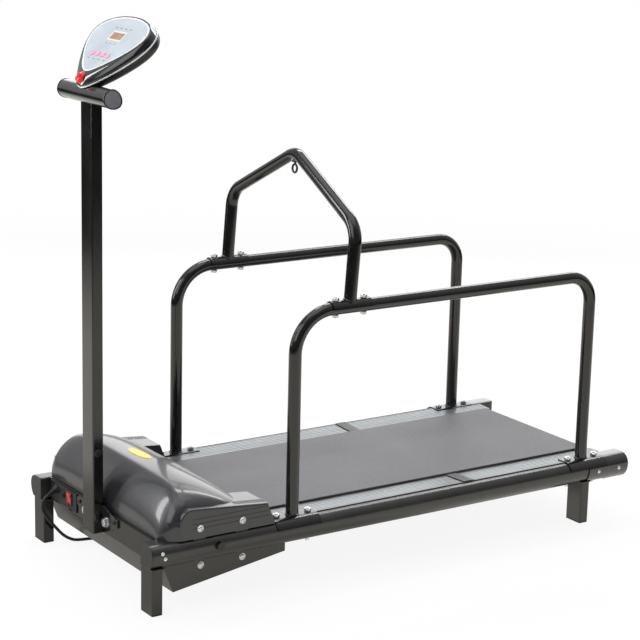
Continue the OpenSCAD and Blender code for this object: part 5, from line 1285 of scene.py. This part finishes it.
class MakeConsole(bpy.types.Operator):
    """Console housing: lower shell, trim line, bezel, printed face and display"""

    bl_idname = "treadmill.make_console"
    bl_label = "Console"

    def execute(self, context):
        house, edge = house_outline(0), house_outline(TRIM_OUT)
        base = -BEZEL_H - TRIM_T
        centre = (SHELL_CENTRE_SHARE * FACE_LEN, 0)
        bm = bmesh.new()
        console_skin(bm, [(shrunk(house, centre, share), base + h) for share, h in SHELL_STEPS])
        show("console_lower_shell", bm, ["satin_grained_abs"], nodes=("console_shell",))

        bm = bmesh.new()
        top = base + TRIM_T
        console_skin(bm, [(house, base - 0.6), (edge, base - 0.1), (edge, top + 0.2), (house, top + 0.7)])
        show("console_trim_line", bm, ["silver_lacquer"], nodes=("console_trim",))

        self.bezel(house)
        self.face()
        self.marks()
        self.display()
        dressed("green_solder_resist", "console_board")
        return {"FINISHED"}

    def bezel(self, house):
        """Rounded bezel round the face, with the hole of the safety key."""
        rim, gap = face_outline(RIM_W), face_outline(FACE_GAP)
        steps = [(house, -BEZEL_H), (house, BEZEL_FOOT), (mixed(house, rim, 0.03), SHOULDER)]
        for t in (i / BEZEL_STEPS for i in range(1, BEZEL_STEPS)):
            rise = BEZEL_RISE * math.sin(math.pi / 2 * t) ** BEZEL_POWER
            steps.append((mixed(house, rim, 0.05 + 0.9 * t), SHOULDER + rise))
        steps += [(mixed(house, rim, 0.985), -0.15), (rim, 0.0), (mixed(rim, gap, 0.8), 0.0)]
        steps += [(gap, -0.5), (gap, -8)]
        bm, cut = bmesh.new(), bmesh.new()
        console_skin(bm, steps)
        turned(cut, [(KEY_R + KEY_GAP, h) for h in KEY_HOLE], key_seat(), KEY_SIDES)
        mesh = carved(bm, cut, "console_top_bezel")
        show("console_top_bezel", mesh, ["gloss_moulded_abs"], nodes=("console_bezel",))

    def face(self):
        """Printed film with its white line and the openings for buttons and display."""
        bm = bmesh.new()
        outline, middle = face_outline(0), (FILM_CENTRE_SHARE * FACE_LEN, 0)
        steps = [(outline, -FILM_T)] + [(shrunk(outline, middle, share), 0) for share in FILM_SHARES]
        loops = [[bm.verts.new(on_console(s, w, h)) for s, w in line] for line, h in steps]
        loops = [loop + loop[:1] for loop in loops]
        for slot, a, b in zip((1, 1, 0), loops, loops[1:]):
            for made in quads(bm, a, b):
                made.material_index = slot
        edges = {bm.edges.get(pair) for pair in zip(loops[-1], loops[-1][1:])}
        slot = pill(BUTTON_W + BUTTON_GAP, BUTTON_L + BUTTON_GAP)
        holes = [[(BUTTON_S + u, w + v) for u, v in slot] for w in BUTTON_WS]
        u, v = WINDOW_L / 2, WINDOW_W / 2
        holes.append([(WINDOW_S + a, b) for a, b in ((-u, -v), (u, -v), (u, v), (-u, v))])
        for hole in holes:
            top, low = ([bm.verts.new(on_console(s, w, h)) for s, w in hole] for h in (0, -FILM_T))
            quads(bm, top + top[:1], low + low[:1])
            edges |= {bm.edges.get(pair) for pair in zip(top, top[1:] + top[:1])}
        bmesh.ops.triangle_fill(bm, use_beauty=True, edges=list(edges))
        show("printed_face", bm, ["silver_printed_film", "white_printed_line"], nodes=("face_plate",))

    def marks(self):
        """Rows of plain printed bars."""
        bm = bmesh.new()
        for s, ws, width, tall in MARK_ROWS:
            for w in ws:
                def place(u, v, d, s=s, w=w):
                    return on_console(s + u, w + v, d)

                prism(bm, pill(width, tall, 5), place, *MARK_SPAN)
        show("printed_marks", bm, ["grey_printed_ink"])

    def display(self):
        """Amber pane with its printed frame."""
        bm = bmesh.new()
        u, v = WINDOW_L / 2, WINDOW_W / 2

        def ring(grow, h):
            corners = ((-1, -1), (1, -1), (1, 1), (-1, 1))
            return [on_console(WINDOW_S + a * (u + grow), b * (v + grow), h) for a, b in corners]

        skin(bm, [ring(*step) for step in FRAME_STEPS], caps=False, slot=1)
        skin(bm, [ring(*step) for step in PANE_STEPS])
        show("display_pane", bm, ["amber_acrylic", "cream_printed_ink"], nodes=("display_window",))


class MakeControls(bpy.types.Operator):
    """Push buttons and safety key"""

    bl_idname = "treadmill.make_controls"
    bl_label = "Buttons and key"

    def execute(self, context):
        for name, w in zip(("stop", "slower", "faster", "start"), BUTTON_WS):
            bm = bmesh.new()
            steps = [(pill(BUTTON_W - 2 * d, BUTTON_L - 2 * d), h) for d, h in BUTTON_STEPS]
            console_skin(bm, [([(BUTTON_S + u, w + v) for u, v in outline], h) for outline, h in steps])
            show(f"{name}_cap", bm, ["pink_silicone"], f"{name}_push", (f"{name}_button",))
        bm = bmesh.new()
        turned(bm, [(KEY_R - d, h) for d, h in KEY_DISC], key_seat(), KEY_SIDES)
        fin = key_seat() @ Matrix.Translation((0, 0, -FIN_SINK * MM)) @ Matrix.Rotation(math.pi / 2, 4, "Y")
        turned(bm, KEY_GRIP, fin, KEY_SIDES)
        show("pull_key_grip", bm, ["red_moulded_abs"], "pull_key", ("safety_key",))
        return {"FINISHED"}


# ---------------------------------------------------------------- fasteners


def domed_head(washer, head, reach):
    """Profile of a washer and button head with a round socket, seated on z = 0."""
    shank = [(3.0, -reach), (3.0, 0.0), (washer[0] / 2, 0.0), (washer[0] / 2, washer[1])]
    r, h = head[0] / 2, head[1]
    dome = [(r * math.cos(a), washer[1] + h * math.sin(a)) for a in (0, 0.35, 0.7, 1.0)]
    return shank + dome + [(r * 0.38, washer[1] + h * 0.86), (r * 0.36, washer[1] + h * 0.4)]


def pairs(xs, y, z, turn):
    """Places on both sides of the machine, each with its turn."""
    return [(at(x, side * y, z), turn[side]) for x in xs for side in HANDS]


class MakeFasteners(bpy.types.Operator):
    """Bolts, nuts and screws"""

    bl_idname = "treadmill.make_fasteners"
    bl_label = "Fasteners"

    def execute(self, context):
        zinc, black = "bright_zinc_plate", "black_oxide_steel"
        # Through-bolts of the saddles: a nut at each end, and the bolt's tail below
        saddles = []
        for centres, reach, low, high, tail in (
            (POST_XS, POST_HALF, LEG_H, RAIL_TOP, POST_TAIL),
            ((ARCH_X,), ARCH_HALF, HANDRAIL_Z - TUBE_R, HANDRAIL_Z + TUBE_R, ARCH_TAIL),
        ):
            xs = [x + side * reach for x in centres for side in HANDS]
            high += SADDLE_T + SEAT_GAP
            foot = low - high - tail
            shank = [(3.4, foot), (4, foot + 0.6), (4, 8.0), (3.4, 8.5)]
            nuts = [(13, low - high - 5.5, low - high), (13, 0.0, 6.5)]
            saddles.append((shank, nuts, pairs(xs, POST_Y, high, UPRIGHT), zinc))
        self.bolts("saddle", saddles)

        # Hood and pan bolts, and the small screws of the rails
        heads = pairs(*PAN_BOLTS, OUTWARD) + pairs(*HOOD_BOLTS, OUTWARD)
        small = [(2, -9), (2, 0), (4.25, 0), (4.2, 0.7), (3.4, 1.7), (2.2, 2.2), (0.9, 2.2), (0.8, 1.2)]
        screws = [spot for row in RAIL_SCREWS for spot in pairs(*row, OUTWARD)]
        self.bolts("cover", [
            (domed_head((15, 1.2), (13, 4), 5), [], heads, zinc),
            (small, [], screws, zinc),
        ])

        # Mast bolts with their washers, and the small bolts beside them
        washer = [(5, -16), (5, 0), (11, 0), (11, 1.7), (10.6, 2.0)]
        small = [(3, -16), (3, 0), (5.5, 0), (5.3, 1.4), (4.2, 2.9), (2.4, 3.5), (1.8, 3.5), (1.7, 2.0)]
        self.bolts("mast", [
            (washer, [(16, 2.0, 8.5)], pairs(*MAST_BOLTS, FORWARD), zinc),
            (small, [], pairs(*WING_BOLTS, FORWARD), black),
        ])

        # Blackened hex bolts through the rails, and the zinc tension bolts of the rear roller
        washer = [(5, -57), (5, 0), (10.5, 0), (10.5, 1.3), (10.1, 1.6)]
        self.bolts("frame", [
            (washer, [(17, 1.6, 8.0)], pairs(*SIDE_BOLTS, OUTWARD), black),
            ([(4, -11.8), (4, 0)], [(13, 0.0, 6.0)], pairs(*TENSION_BOLTS, REARWARD), zinc),
        ])
        return {"FINISHED"}

    def bolts(self, group, kinds):
        """One piece of several kinds of bolt: each has its profile, hex heads, places and finish."""
        name = group + "_fasteners"
        joined = bmesh.new()
        for slot, (profile, heads, places, label) in enumerate(kinds):
            bm = bmesh.new()
            turned(bm, profile)
            for head in heads:
                hexagon(bm, *head)
            mesh = fasteners(f"{name}_{slot}", bm, places, label)
            first = len(joined.faces)
            joined.from_mesh(mesh)
            joined.faces.ensure_lookup_table()
            for face in joined.faces[first:]:
                face.material_index = slot
            bpy.data.meshes.remove(mesh)
        show(name, joined, [label for *_, label in kinds], nodes=(group + "_bolts",))


# ---------------------------------------------------------------- add-on


class TreadmillPanel(bpy.types.Panel):
    """Lists the pieces of the treadmill"""

    bl_idname = "VIEW3D_PT_treadmill"
    bl_label = "Pet treadmill"
    bl_space_type = "VIEW_3D"
    bl_region_type = "UI"
    bl_category = "Treadmill"

    def draw(self, context):
        settings = context.scene.treadmill
        for group in (settings.stage, settings.steel, settings.lead, settings.hood):
            for name in group.__annotations__:
                self.layout.prop(group, name)
        for operator in OPERATORS:
            self.layout.operator(operator.bl_idname)


OPERATORS = (
    MakeStage,
    MakeLead,
    MakeRails,
    MakeTubes,
    MakeWelds,
    MakeSteelwork,
    MakeBelt,
    MakeDrive,
    MakeHood,
    MakePanel,
    MakeTBar,
    MakeConsole,
    MakeControls,
    MakeFasteners,
)
SETTINGS = (StageSettings, FrameSettings, LeadSettings, HoodSettings, TreadmillSettings)


def register():
    for item in (*SETTINGS, *OPERATORS, TreadmillPanel):
        bpy.utils.register_class(item)
    bpy.types.Scene.treadmill = bpy.props.PointerProperty(type=TreadmillSettings)


def unregister():
    del bpy.types.Scene.treadmill
    for item in reversed((*SETTINGS, *OPERATORS, TreadmillPanel)):
        bpy.utils.unregister_class(item)


def main():
    register()
    for operator in OPERATORS:
        group, name = operator.bl_idname.split(".")
        getattr(getattr(bpy.ops, group), name)()


if __name__ == "__main__":
    main()
